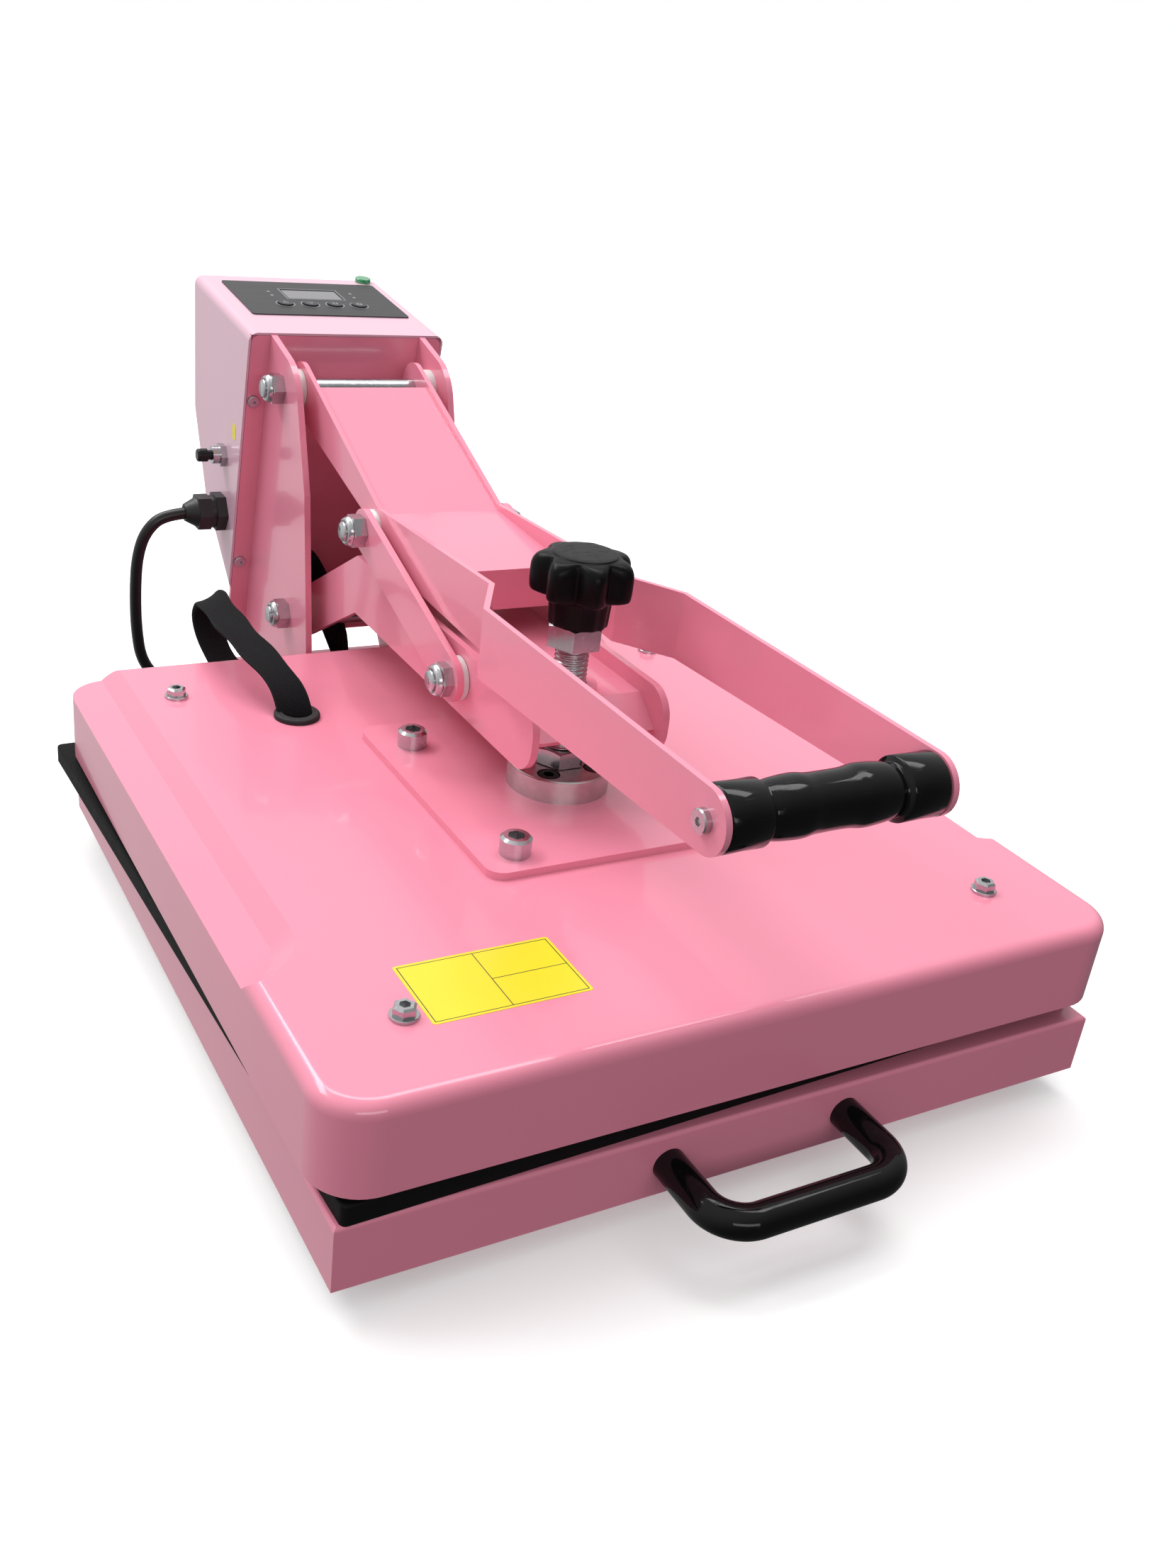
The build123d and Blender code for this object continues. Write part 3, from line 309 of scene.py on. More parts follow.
def braid(name, colour, width, pick):
    """Flat braided sleeving, from the band's own across and along coordinates, with painted shade and
    highlight on the weave and a painted highlight along both edges.
    """
    s = Surface(name)
    chart = s.node("ShaderNodeUVMap", {"uv_map": "band"})
    across, along = s.axis("X", chart) * (math.tau / pick), s.axis("Y", chart) * (math.tau / pick)
    right, left = (across + along).sine(), (across - along).sine()
    over = (right * left) > 0.0
    strand_relief_and_painted_shade = s.math("ABSOLUTE", right) * over + s.math("ABSOLUTE", left) * (1 - over)
    fuzz = s.noise(900.0, 3.0, 0.7)
    edge = s.step(abs(s.axis("X", chart)), width * 0.42, width * 0.5)
    s.relief(strand_relief_and_painted_shade + fuzz * 0.35, 0.0004, 0.75)
    # Painted shade and highlight: the colour follows the strand height, darker in the weave's hollows and
    # lighter on its crests.
    base = s.between(strand_relief_and_painted_shade * 0.8 + fuzz * 0.2, tint(colour, 0.45), tint(colour, 1.7))
    # Painted highlight: the band is made lighter along both of its rounded edges.
    base = s.between(edge * 0.4, base, tint(colour, 2.4))
    return s.set(Base_Color=base, Roughness=fuzz * 0.2 + 0.58, Specular_IOR_Level=0.08)


def cord_jacket(name, colour):
    """Extruded PVC: faint drag lines, scuffs and a soft gloss."""
    s = Surface(name)
    drag = s.noise(1.0, 2.0, 0.5, s.stretched((420.0, 420.0, 420.0)))
    scuff = s.step(s.noise(70.0, 5.0, 0.7), 0.58, 0.8)
    s.relief(drag + scuff * 0.3, 0.00005, 0.35)
    base = s.between(scuff * 0.2, tint(colour, 1.0), (0.05, 0.05, 0.053, 1.0))
    return s.set(Base_Color=base, Roughness=scuff * 0.18 + drag * 0.06 + 0.32)


def printed_film(name, colour):
    """Satin polyester overlay with a fine printed texture and wipe marks."""
    s = Surface(name)
    grain = s.cells(1500.0)
    wipe = s.noise(1.0, 3.0, 0.6, s.stretched((30.0, 190.0, 30.0)))
    s.relief(grain, 0.00002, 0.35)
    base = s.between(s.step(wipe, 0.4, 0.8) * 0.5, tint(colour, 1.0), tint(colour, 1.6))
    return s.set(Base_Color=base, Roughness=wipe * 0.16 + grain * 0.05 + 0.30)


def display_glass(name, colour, pitch):
    """Reflective display behind a clear window, with its fine cell grid."""
    s = Surface(name)
    columns = (s.axis("X") * (math.tau / pitch)).sine() > 0.92
    rows = (s.axis("Y") * (math.tau / pitch)).sine() > 0.92
    haze = s.noise(55.0, 3.0)
    base = s.between(haze, tint(colour, 0.88), tint(colour, 1.06))
    base = s.between(columns.larger(rows) * 0.22, base, tint(colour, 0.6))
    s.relief(haze, 0.00002, 0.2)
    return s.set(Base_Color=base, Roughness=haze * 0.1 + 0.08, Coat_Weight=0.8, Coat_Roughness=0.04)


def signal_lens(name, colour):
    """Moulded lens with ribs behind its face."""
    s = Surface(name)
    ribs = (s.axis("X") * (math.tau / 0.0011)).sine() * (s.axis("Y") * (math.tau / 0.0011)).sine()
    cloud = s.noise(300.0, 2.0)
    base = s.between(ribs * 0.35 + cloud * 0.5, tint(colour, 0.7), tint(colour, 1.3))
    s.relief(ribs, 0.00008, 0.4)
    return s.set(Base_Color=base, Roughness=cloud * 0.1 + 0.12, Coat_Weight=0.8, Coat_Roughness=0.05)


def circuit_board(name, colour):
    """Solder mask with copper tracks under it."""
    s = Surface(name)
    lanes = s.node("ShaderNodeTexVoronoi", {"distance": "MANHATTAN"}, {"Vector": s.place, "Scale": 260.0})
    tracks = s.step(lanes, 0.42, 0.5)
    mask = s.noise(500.0)
    s.relief(tracks + mask * 0.2, 0.00005, 0.5)
    copper = (colour[0] + 0.04, colour[1] * 1.5, colour[2])
    base = s.between(tracks * 0.6, tint(colour, 0.8), tint(copper, 1.0))
    return s.set(Base_Color=base, Roughness=mask * 0.15 + 0.25)


def label_film(name, colour, low, high, divider):
    """Plain yellow label with a thin dark border and divider; no words."""
    s = Surface(name)
    x, y = s.axis("X"), s.axis("Y")
    inset, line = 1.6 * MM, 0.45 * MM
    edge_x = abs(x - (low[0] + high[0]) / 2) - ((high[0] - low[0]) / 2 - inset)
    edge_y = abs(y - (low[1] + high[1]) / 2) - ((high[1] - low[1]) / 2 - inset)
    border = abs(edge_x.larger(edge_y)) < (line / 2)
    inside = edge_x.larger(edge_y) < 0.0
    upright = (abs(x - divider) < (line / 2)) * inside
    across = (abs(y - (low[1] + high[1]) / 2) < (line / 2)) * (x > divider) * inside
    wear = s.step(s.noise(160.0, 4.0, 0.7), 0.62, 0.78)
    base = s.between(s.noise(30.0, 3.0), tint(colour, 0.94), tint(colour, 1.03))
    base = s.between(border.larger(upright).larger(across) * (1 - wear * 0.6), base, (0.03, 0.028, 0.02, 1.0))
    s.relief(s.noise(420.0), 0.00003, 0.3)
    return s.set(Base_Color=base, Roughness=wear * 0.2 + 0.28, Coat_Weight=0.3, Coat_Roughness=0.12)


def studio_floor(name, colour):
    """Pale seamless paper that emits painted light: dim round the press, full white further out."""
    s = Surface(name)
    tooth = s.noise(350.0, 3.0)
    s.relief(tooth, 0.0001, 0.1)
    base = s.between(s.noise(1.5, 2.0), tint(colour, 0.992), tint(colour, 1.0))
    x, y = s.axis("X"), s.axis("Y")
    # Painted light: the paper emits light of its own, 0.3 round the press rising to full white from 1.6 m
    # out.
    far = s.step((x * x + y * y) ** 0.5, 0.35, 1.6)
    painted_glow = s.between(far, (0.30, 0.30, 0.30, 1.0), (1.0, 1.0, 1.0, 1.0))
    return s.set(
        Base_Color=base, Roughness=tooth * 0.05 + 0.85, Specular_IOR_Level=0.2,
        Emission_Color=painted_glow, Emission_Strength=0.9,
    )


# ---------------------------------------------------------------- mesh helpers
def new_piece(name, vertices, faces, material, smooth=True):
    """A mesh object linked to the scene."""
    mesh = bpy.data.meshes.new(name)
    mesh.from_pydata([tuple(v) for v in vertices], [], faces)
    mesh.materials.append(material)
    mesh.update()
    if smooth:
        mesh.polygons.foreach_set("use_smooth", [True] * len(mesh.polygons))
    piece = bpy.data.objects.new(name, mesh)
    bpy.context.scene.collection.objects.link(piece)
    return piece


def rounded_plate(corner, size, radius, bottom, top, turn=8):
    """Vertices and faces of a flat plate with rounded corners, in its own plane's units."""
    outline = []
    for k, (sx, sy) in enumerate(((1, 1), (-1, 1), (-1, -1), (1, -1))):
        for step in range(turn + 1):
            angle = math.radians(90 * k + 90 * step / turn)
            outline.append((
                corner[0] + size[0] / 2 + sx * (size[0] / 2 - radius) + radius * math.cos(angle),
                corner[1] + size[1] / 2 + sy * (size[1] / 2 - radius) + radius * math.sin(angle),
            ))
    count = len(outline)
    vertices = [(x, y, z) for z in (bottom, top) for x, y in outline]
    faces = [tuple(range(count - 1, -1, -1)), tuple(range(count, 2 * count))]
    faces += [(i, (i + 1) % count, count + (i + 1) % count, count + i) for i in range(count)]
    return vertices, faces


def spline_points(name, points, resolution=12):
    """Points along the smooth line of a cord's route."""
    line = cord_curve(name, points, 0.0)
    line.data.splines[0].resolution_u = resolution
    mesh = bpy.data.meshes.new_from_object(line)
    found = [v.co.copy() for v in mesh.vertices]
    bpy.data.meshes.remove(mesh)
    bpy.data.objects.remove(line)
    return found


def cord_curve(name, points, radius):
    """A curve of one open NURBS spline."""
    curve = bpy.data.curves.new(name, "CURVE")
    curve.dimensions = "3D"
    spline = curve.splines.new("NURBS")
    spline.points.add(len(points) - 1)
    for place, point in zip(spline.points, points):
        place.co = (*point, 1.0)
    spline.order_u = 3
    spline.use_endpoint_u = True
    spline.resolution_u = 10
    curve.bevel_depth = radius
    curve.bevel_resolution = 6
    curve.use_fill_caps = radius > 0
    piece = bpy.data.objects.new(name, curve)
    bpy.context.scene.collection.objects.link(piece)
    return piece


# ---------------------------------------------------------------- sizes and colours
class PressColours(bpy.types.PropertyGroup):
    coat: FloatVectorProperty(
        name="Coat", description="Powder coat of the steelwork", subtype="COLOR",
        default=(0.85, 0.275, 0.385),
    )
    box: FloatVectorProperty(
        name="Control box", description="Powder coat of the control box", subtype="COLOR",
        default=(0.74, 0.46, 0.56),
    )
    plated: FloatVectorProperty(
        name="Plated steel", description="Zinc-plated fasteners", subtype="COLOR",
        default=(0.56, 0.565, 0.58),
    )
    moulding: FloatVectorProperty(
        name="Mouldings", description="Grip, knob and pull", subtype="COLOR", default=(0.004, 0.004, 0.0045),
    )
    rubber: FloatVectorProperty(
        name="Rubber", description="Pad, feet and grommet", subtype="COLOR", default=(0.006, 0.006, 0.0065),
    )
    label: FloatVectorProperty(
        name="Label", description="Blank label", subtype="COLOR", default=(0.86, 0.72, 0.02),
    )


class PressSizes(bpy.types.PropertyGroup):
    thread_pitch: FloatProperty(
        name="Thread pitch", description="Spindle thread pitch", unit="LENGTH", default=2.5 * MM,
    )
    thread_depth: FloatProperty(
        name="Thread depth", description="Depth of the spindle thread", unit="LENGTH", default=1.1 * MM,
    )
    sleeve_width: FloatProperty(
        name="Sleeve width", description="Width of the flat braided sleeve", unit="LENGTH", default=18.5 * MM,
    )
    sleeve_thickness: FloatProperty(
        name="Sleeve thickness", description="Thickness of the flat sleeve", unit="LENGTH", default=3.6 * MM,
    )
    cord_diameter: FloatProperty(
        name="Cord diameter", description="Mains cord", unit="LENGTH", default=8.0 * MM,
    )
    cord_length: FloatProperty(
        name="Cord length", description="Mains cord, gland to plug", unit="LENGTH", default=1.78,
    )
    coil_steps: IntProperty(
        name="Coil points", description="Control points in each turn of the coil", default=14, min=12,
    )
    lens: FloatProperty(name="Lens", description="Camera focal length", default=34.46)


def colours():
    return bpy.context.scene.heat_press_colours


def sizes():
    return bpy.context.scene.heat_press_sizes


class PieceOperator(bpy.types.Operator):
    """Builds one group of pieces."""

    def execute(self, context):
        self.build()
        return {"FINISHED"}


# ---------------------------------------------------------------- steelwork
class PRESS_OT_steelwork(PieceOperator):
    """Powder coat on the cover, drawer, arms, links, column and box"""

    bl_idname = "heat_press.steelwork"
    bl_label = "Steelwork"

    def build(self):
        coat = powder_coat("pink_powder_coat", colours().coat, 0.20)
        paint_nodes(
            coat, "cover", "drawer_tray", "handle_plate_left", "handle_plate_right", "yoke_web",
            "arm_cheek_left", "arm_cheek_right", "arm_web", "column_cheek_left",
            "column_cheek_right", "column_face", "link_plates", "mount_plate", "base_frame",
            "sole_plate",
        )
        paint_nodes(powder_coat("box_powder_coat", colours().box, 0.28), "control_box")


class PRESS_OT_hardware(PieceOperator):
    """Plated bolts, nuts, washers, rails and the turned flange"""

    bl_idname = "heat_press.hardware"
    bl_label = "Hardware"

    def build(self):
        bright = plated_steel("bright_plate", colours().plated, 0.10, 0.8)
        paint_nodes(
            bright, "pivot_bolts", "knee_bolt", "front_studs", "spindle_nuts", "spindle_rod",
            "button_bush", "arm_spacer", "cap_screws", "cover_screws", "grip_bolt", "face_screws",
            "pull_screws",
        )
        paint_nodes(
            plated_steel("rolled_zinc", (0.60, 0.62, 0.64), 0.26, 1.0),
            "fixed_rails", "middle_rails", "drawer_rails", "platen_posts",
        )
        low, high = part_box("flange")
        paint_nodes(turned_steel("turned_flange", (0.66, 0.65, 0.65), (low + high) / 2), "flange")
        paint_nodes(plated_steel("black_oxide", (0.03, 0.03, 0.033), 0.22, 1.0), "flange_screws")
        paint_nodes(
            nylon("white_nylon", (0.82, 0.81, 0.78)), "pivot_washers", "knee_washers", "front_washers",
        )
        paint_nodes(plated_steel("pin_brass", (0.72, 0.53, 0.24), 0.14, 0.6), "plug_pins")


class PRESS_OT_spindle(PieceOperator):
    """Spindle rod with its cut thread"""

    bl_idname = "heat_press.spindle"
    bl_label = "Threaded spindle"

    def build(self):
        low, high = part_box("spindle_rod")
        centre, radius = (low + high) / 2, (high.x - low.x) / 2
        pitch, depth = sizes().thread_pitch, sizes().thread_depth
        around, per_pitch = 40, 8
        rows = int((high.z - low.z) / pitch * per_pitch)
        vertices = []
        for row in range(rows + 1):
            z = low.z + (high.z - low.z) * row / rows
            for column in range(around):
                phase = (z / pitch - column / around) % 1.0
                flank = abs(phase * 2 - 1)
                r = radius - depth * min(1.0, max(0.0, flank * 1.25 - 0.12))
                angle = math.tau * column / around
                vertices.append((centre.x + r * math.cos(angle), centre.y + r * math.sin(angle), z))
        faces = [
            (row * around + c, row * around + (c + 1) % around,
             (row + 1) * around + (c + 1) % around, (row + 1) * around + c)
            for row in range(rows) for c in range(around)
        ]
        faces += [tuple(range(around - 1, -1, -1)), tuple(range(rows * around, (rows + 1) * around))]
        material = plated_steel("cut_thread", tint(colours().plated, 0.92), 0.16, 0.6)
        piece = new_piece("spindle_thread", vertices, faces, material)
        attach(piece, "spindle")
        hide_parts("spindle_rod")


def lathe(name, profile, origin, axis, material, around=64, outline=None):
    """A turned piece: (along, radius) points swept round an axis, each ring's radius shaped by outline."""
    frame_turn = Vector((0.0, 0.0, 1.0)).rotation_difference(Vector(axis)).to_matrix()
    vertices, faces = [], []
    for along, radius in profile:
        for k in range(around):
            angle = math.tau * k / around
            r = radius if outline is None else outline(along, radius, angle)
            spot = Vector((r * math.cos(angle), r * math.sin(angle), along))
            vertices.append(frame_turn @ spot + Vector(origin))
    for i in range(len(profile) - 1):
        for k in range(around):
            j = (k + 1) % around
            faces.append((i * around + k, i * around + j, (i + 1) * around + j, (i + 1) * around + k))
    last = (len(profile) - 1) * around
    faces += [tuple(range(around - 1, -1, -1)), tuple(range(last, last + around))]
    return new_piece(name, vertices, faces, material)


def smooth_profile(points, steps=6):
    """A profile's points joined by a smooth curve."""
    found = []
    for i in range(len(points) - 1):
        p0, p1 = points[max(i - 1, 0)], points[i]
        p2, p3 = points[i + 1], points[min(i + 2, len(points) - 1)]
        for k in range(steps):
            t = k / steps
            found.append(tuple(
                0.5 * (
                    2 * b + (c - a) * t + (2 * a - 5 * b + 4 * c - d) * t * t
                    + (3 * b - a - 3 * c + d) * t ** 3
                )
                for a, b, c, d in zip(p0, p1, p2, p3)
            ))
    return found + [points[-1]]


class PRESS_OT_grip(PieceOperator):
    """Waisted hand grip between its two collars"""

    bl_idname = "heat_press.grip"
    bl_label = "Hand grip"

    def build(self):
        low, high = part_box("grip")
        centre, half, full = (low + high) / 2, (high.x - low.x) / 2, (high.z - low.z) / 2
        collar, gap, ridge = 21.0 * MM, 2.4 * MM, 1.0 * MM
        body = smooth_profile([
            (-half + collar + gap, full - 2.6 * MM), (-half + collar + gap + 6 * MM, full - 1.5 * MM),
            (-half + collar + gap + 16 * MM, full - 0.9 * MM),
            (-8 * MM, full - 1.8 * MM), (8 * MM, full - 1.8 * MM),
            (half - collar - gap - 16 * MM, full - 0.9 * MM), (half - collar - gap - 6 * MM, full - 1.5 * MM),
            (half - collar - gap, full - 2.6 * MM),
        ])
        ends = [
            (-half, full - 2.2 * MM), (-half + 0.5 * MM, full - 0.6 * MM),
            (-half + ridge * 1.6, full - 0.05 * MM),
            (-half + collar * 0.5, full - 0.25 * MM), (-half + collar - ridge, full - 0.05 * MM),
            (-half + collar - 0.3 * MM, full - 0.5 * MM), (-half + collar, full - 2.2 * MM),
            (-half + collar + gap * 0.4, full - 3.1 * MM),
        ]
        profile = ends + body + [(-a, r) for a, r in reversed(ends)]
        plastic = moulded_gloss("grip_plastic", colours().moulding, 0.08)
        piece = lathe("hand_grip", profile, centre, (1.0, 0.0, 0.0), plastic, 72)
        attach(piece, "handle")
        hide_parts("grip")


class PRESS_OT_knob(PieceOperator):
    """Seven-lobed pressure knob on its hub"""

    bl_idname = "heat_press.knob"
    bl_label = "Pressure knob"
    lobes, lobe_depth, flute_depth = 7, 7.4 * MM, 0.5 * MM
    crown, core = 23.0 * MM, 17.0 * MM

    def build(self):
        low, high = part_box("knob")
        centre, reach, tall = (low + high) / 2, (high.x - low.x) / 2, high.z - low.z
        foot = tall - self.crown
        profile = smooth_profile([
            (0.0, 15.2 * MM), (0.8 * MM, 15.6 * MM), (foot - 1.5 * MM, 16.6 * MM), (foot, 18.5 * MM),
            (foot + 1.2 * MM, reach - 2.6 * MM), (foot + 3.0 * MM, reach - 0.5 * MM),
            (foot + 10.0 * MM, reach),
            (tall - 7.0 * MM, reach - 0.3 * MM), (tall - 3.4 * MM, reach - 2.2 * MM),
            (tall - 1.6 * MM, reach - 5.5 * MM), (tall - 1.0 * MM, reach - 9.5 * MM),
            (tall - 0.2 * MM, reach - 11.0 * MM), (tall - 0.05 * MM, 8.0 * MM), (tall, 1.0 * MM),
        ])

        def shaped(along, radius, angle):
            lobe = (0.5 + 0.5 * math.cos(self.lobes * angle)) ** 0.7
            share = min(1.0, max(0.0, (radius - self.core) / (reach - self.core)))
            flute = self.flute_depth * (0.5 + 0.5 * math.cos(self.lobes * 2 * angle))
            on_hub = share == 0 and along < foot
            return radius - (1 - lobe) * self.lobe_depth * share - (flute if on_hub else 0.0)

        piece = lathe("pressure_knob", profile, (centre.x, centre.y, low.z), (0.0, 0.0, 1.0),
                      moulded_gloss("knob_phenolic", colours().moulding, 0.30, shine=0.14), 168, shaped)
        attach(piece, "spindle")
        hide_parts("knob")


class PRESS_OT_nut_collars(PieceOperator):
    """Rounded nylon-insert collars and bolt ends on the lock nuts"""

    bl_idname = "heat_press.nut_collars"
    bl_label = "Lock nut collars"
    # Body, outer face of the nut, and the pivot's place in millimetres.
    places = (
        ("pivot_a", "base", -61.0, 212.0, 245.5), ("pivot_c", "base", -61.0, 191.5, 102.5),
        ("pivot_b", "handle", -55.7, 82.0, 194.0), ("pivot_d", "links", -53.9, -45.0, 153.0),
    )

    # Half sections as (along the bolt, radius) in millimetres from the nut's face.
    collar = ((0.0, 8.9), (0.5, 8.7), (1.6, 8.3), (2.6, 7.7), (3.0, 7.0), (3.1, 6.4), (2.4, 6.3), (1.2, 6.2))
    insert = ((1.0, 6.6), (2.2, 6.6), (2.5, 6.2), (2.4, 5.6), (1.6, 5.5))
    thread = tuple((k * 0.35, 5.75 - (0.45 if k % 3 == 0 else 0.0)) for k in range(13)) + ((4.7, 4.9),)

    def build(self):
        zinc = plated_steel("nut_collar", colours().plated, 0.14, 0.7)
        white = nylon("nut_insert", (0.70, 0.69, 0.66))
        turned = (
            ("_collar", self.collar, zinc, "bright_zinc"), ("_insert", self.insert, white, "white_nylon"),
            ("_end", self.thread, zinc, "bright_zinc"),
        )
        for name, body, *at in self.places:
            for ending, section, material, slot in turned:
                profile = [(along * MM, radius * MM) for along, radius in section]
                origin = [c * MM for c in at]
                piece = lathe(name + ending, profile, origin, (-1.0, 0.0, 0.0), material, 40)
                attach(piece, body)


class PRESS_OT_mouldings(PieceOperator):
    """Drawer pull, gland and button cap"""

    bl_idname = "heat_press.mouldings"
    bl_label = "Black mouldings"

    def build(self):
        paint_nodes(moulded_gloss("black_gloss", colours().moulding, 0.08), "drawer_pull")
        paint_nodes(moulded_matte("gland_nylon", (0.012, 0.012, 0.013), 0.38), "cable_gland")
        paint_nodes(moulded_gloss("button_cap", (0.012, 0.012, 0.012), 0.2), "mains_button")


class PRESS_OT_rubber(PieceOperator):
    """Silicone pad, feet and grommet"""

    bl_idname = "heat_press.rubber"
    bl_label = "Pad and feet"

    def build(self):
        paint_nodes(foam_silicone("pad_silicone", colours().rubber), "silicone_pad")
        paint_nodes(moulded_matte("foot_rubber", colours().rubber, 0.6), "rubber_feet", "grommet")


class PRESS_OT_heating(PieceOperator):
    """Heating plate, element and blanket inside the cover"""

    bl_idname = "heat_press.heating"
    bl_label = "Heating stack"

    def build(self):
        paint_nodes(plated_steel("plate_alloy", (0.42, 0.42, 0.41), 0.30, 1.0), "heating_plate")
        sheath = plated_steel("heater_sheath", (0.30, 0.28, 0.27), 0.34, 1.0)
        paint_nodes(sheath, "heater_element", "temperature_probe")
        paint_nodes(mineral_wool("mineral_wool", (0.80, 0.77, 0.66)), "insulation_blanket")


# ---------------------------------------------------------------- control panel
LID_ORIGIN = Vector((0.0, 233.0 * MM, 275.3 * MM))
LID_SLOPE = math.atan2(15.2, 124.0)
KEY_X = (-23.5, -6.0, 11.5, 29.0)
KEY_Y = 58.5
FILM_TOP, KEY_TOP = 0.8, 1.8


def on_lid(x, y, height):
    """A point on the box's sloping lid, from millimetres across, up the slope and above it."""
    up_slope = Vector((0.0, math.cos(LID_SLOPE), math.sin(LID_SLOPE)))
    out = Vector((0.0, -math.sin(LID_SLOPE), math.cos(LID_SLOPE)))
    return LID_ORIGIN + Vector((x, 0.0, 0.0)) * MM + up_slope * (y * MM) + out * (height * MM)


def print_shape(outer, inner, bottom, top):
    """A closed printed line between two outlines on the lid, as vertices and faces."""
    count = len(outer)
    vertices = [on_lid(*p, h) for h in (bottom, top) for ring in (outer, inner) for p in ring]
    faces = []
    for i in range(count):
        j = (i + 1) % count
        a, b, c, d = 0, count, 2 * count, 3 * count
        faces += [(c + i, c + j, d + j, d + i), (a + j, a + i, b + i, b + j),
                  (a + i, a + j, c + j, c + i), (b + j, b + i, d + i, d + j)]
    return vertices, faces


def ngon(centre, radius, sides, turn=0.0):
    """Corners of a regular outline."""
    return [
        (centre[0] + radius * math.cos(turn + math.tau * k / sides),
         centre[1] + radius * math.sin(turn + math.tau * k / sides))
        for k in range(sides)
    ]


class PRESS_OT_panel(PieceOperator):
    """Overlay film, display, keys, lamp and their printed marks"""

    bl_idname = "heat_press.panel"
    bl_label = "Control panel"

    def build(self):
        paint_nodes(printed_film("overlay_film", (0.016, 0.016, 0.018)), "display_panel")
        paint_nodes(printed_film("key_film", (0.024, 0.024, 0.027)), "membrane_keys")
        paint_nodes(display_glass("display_glass", (0.125, 0.115, 0.125), 1.3 * MM), "lcd_module")
        paint_nodes(signal_lens("green_lens", (0.02, 0.33, 0.12)), "pilot_lamp")
        paint_nodes(circuit_board("solder_mask", (0.02, 0.14, 0.04)), "circuit_boards")
        paint_nodes(moulded_matte("relay_case", (0.03, 0.05, 0.16), 0.4), "relay_and_terminals")
        vertices, faces = [], []
        for shape in self.marks():
            base = len(vertices)
            vertices += shape[0]
            faces += [tuple(base + i for i in face) for face in shape[1]]
        ink = printed_film("grey_ink", (0.30, 0.30, 0.32))
        marks = new_piece("panel_print", vertices, faces, ink, smooth=False)
        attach(marks, "base")

    def marks(self):
        """Rings round the keys, plain signs on them and indicator dots by the display."""
        thin = 0.06
        for x in KEY_X:
            centre = (x, KEY_Y)
            yield print_shape(ngon(centre, 6.5, 40), ngon(centre, 6.0, 40), FILM_TOP - 0.3, FILM_TOP + thin)
        signs = ((3, math.pi / 2, 2.4), (3, -math.pi / 2, 2.4), (4, math.pi / 4, 2.3), (24, 0.0, 2.0))
        for x, (sides, turn, size) in zip(KEY_X, signs):
            centre = (x, KEY_Y)
            outer, inner = ngon(centre, size, sides, turn), ngon(centre, size - 0.75, sides, turn)
            yield print_shape(outer, inner, KEY_TOP - 0.3, KEY_TOP + thin)
        for x in (-27.0, 32.0):
            for y in (76.0, 84.0):
                outer, inner = ngon((x, y), 1.1, 16), ngon((x, y), 0.25, 16)
                yield print_shape(outer, inner, FILM_TOP - 0.3, FILM_TOP + thin)
        frame_line = [(-18.5, 69.0), (23.5, 69.0), (23.5, 91.0), (-18.5, 91.0)]
        inner_line = [(-18.0, 69.5), (23.0, 69.5), (23.0, 90.5), (-18.0, 90.5)]
        yield print_shape(frame_line, inner_line, FILM_TOP - 0.3, FILM_TOP + thin)


# ---------------------------------------------------------------- labels and seams
class PRESS_OT_labels(PieceOperator):
    """Blank label on the cover and a small one on the box"""

    bl_idname = "heat_press.labels"
    bl_label = "Blank labels"

    def build(self):
        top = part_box("cover")[1].z
        low, high = (-150.0 * MM, -265.0 * MM), (-75.0 * MM, -221.0 * MM)
        film = label_film("blank_label", colours().label, low, high, -113.0 * MM)
        vertices, faces = rounded_plate(
            low, (75.0 * MM, 44.0 * MM), 1.5 * MM, top - 0.05 * MM, top + 0.15 * MM
        )
        plate = new_piece("cover_label", vertices, faces, film, smooth=False)
        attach(plate, "platen")
        side = -67.0 * MM
        vertices, faces = rounded_plate(
            (258.5 * MM, 200.0 * MM), (7.0 * MM, 10.0 * MM), 0.8 * MM, -0.05 * MM, 0.15 * MM
        )
        upright = [(side - z, x, y) for x, y, z in vertices]
        small = new_piece("box_label", upright, [tuple(reversed(f)) for f in faces],
                          moulded_matte("plain_sticker", colours().label, 0.35), smooth=False)
        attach(small, "base")


# ---------------------------------------------------------------- cords
SLEEVE_ROUTE = (
    (-102, 32, 97.3),
    (-103, 36, 112),
    (-108, 54, 122),
    (-113, 92, 126),
    (-113, 134, 126),
    (-109, 174, 124),
    (-105, 199, 108),
    (-102, 192, 84),
    (-96, 166, 71),
    (-77, 149, 67),
    (-50, 138.5, 65),
    (-20, 152, 62),
    (-6, 196, 61),
    (-4, 233, 78),
    (-12, 245, 105),
    (-25, 240, 124),
    (-30, 266.66, 122),
)
# How the flat sleeve's width lies along its route: share of the route, then a direction.
SLEEVE_FACES = (
    (0.00, (1.0, -0.2, 0.0)), (0.15, (0.96, -0.1, 0.2)), (0.34, (0.88, 0.0, 0.45)), (0.46, (0.9, 0.1, 0.35)),
    (0.53, (0.75, 0.2, 0.6)), (0.60, (0.2, 0.2, 1.0)), (0.74, (0.0, 0.0, 1.0)),
    (0.86, (0.7, 0.0, 0.7)), (1.00, (1.0, 0.0, 0.0)),
)


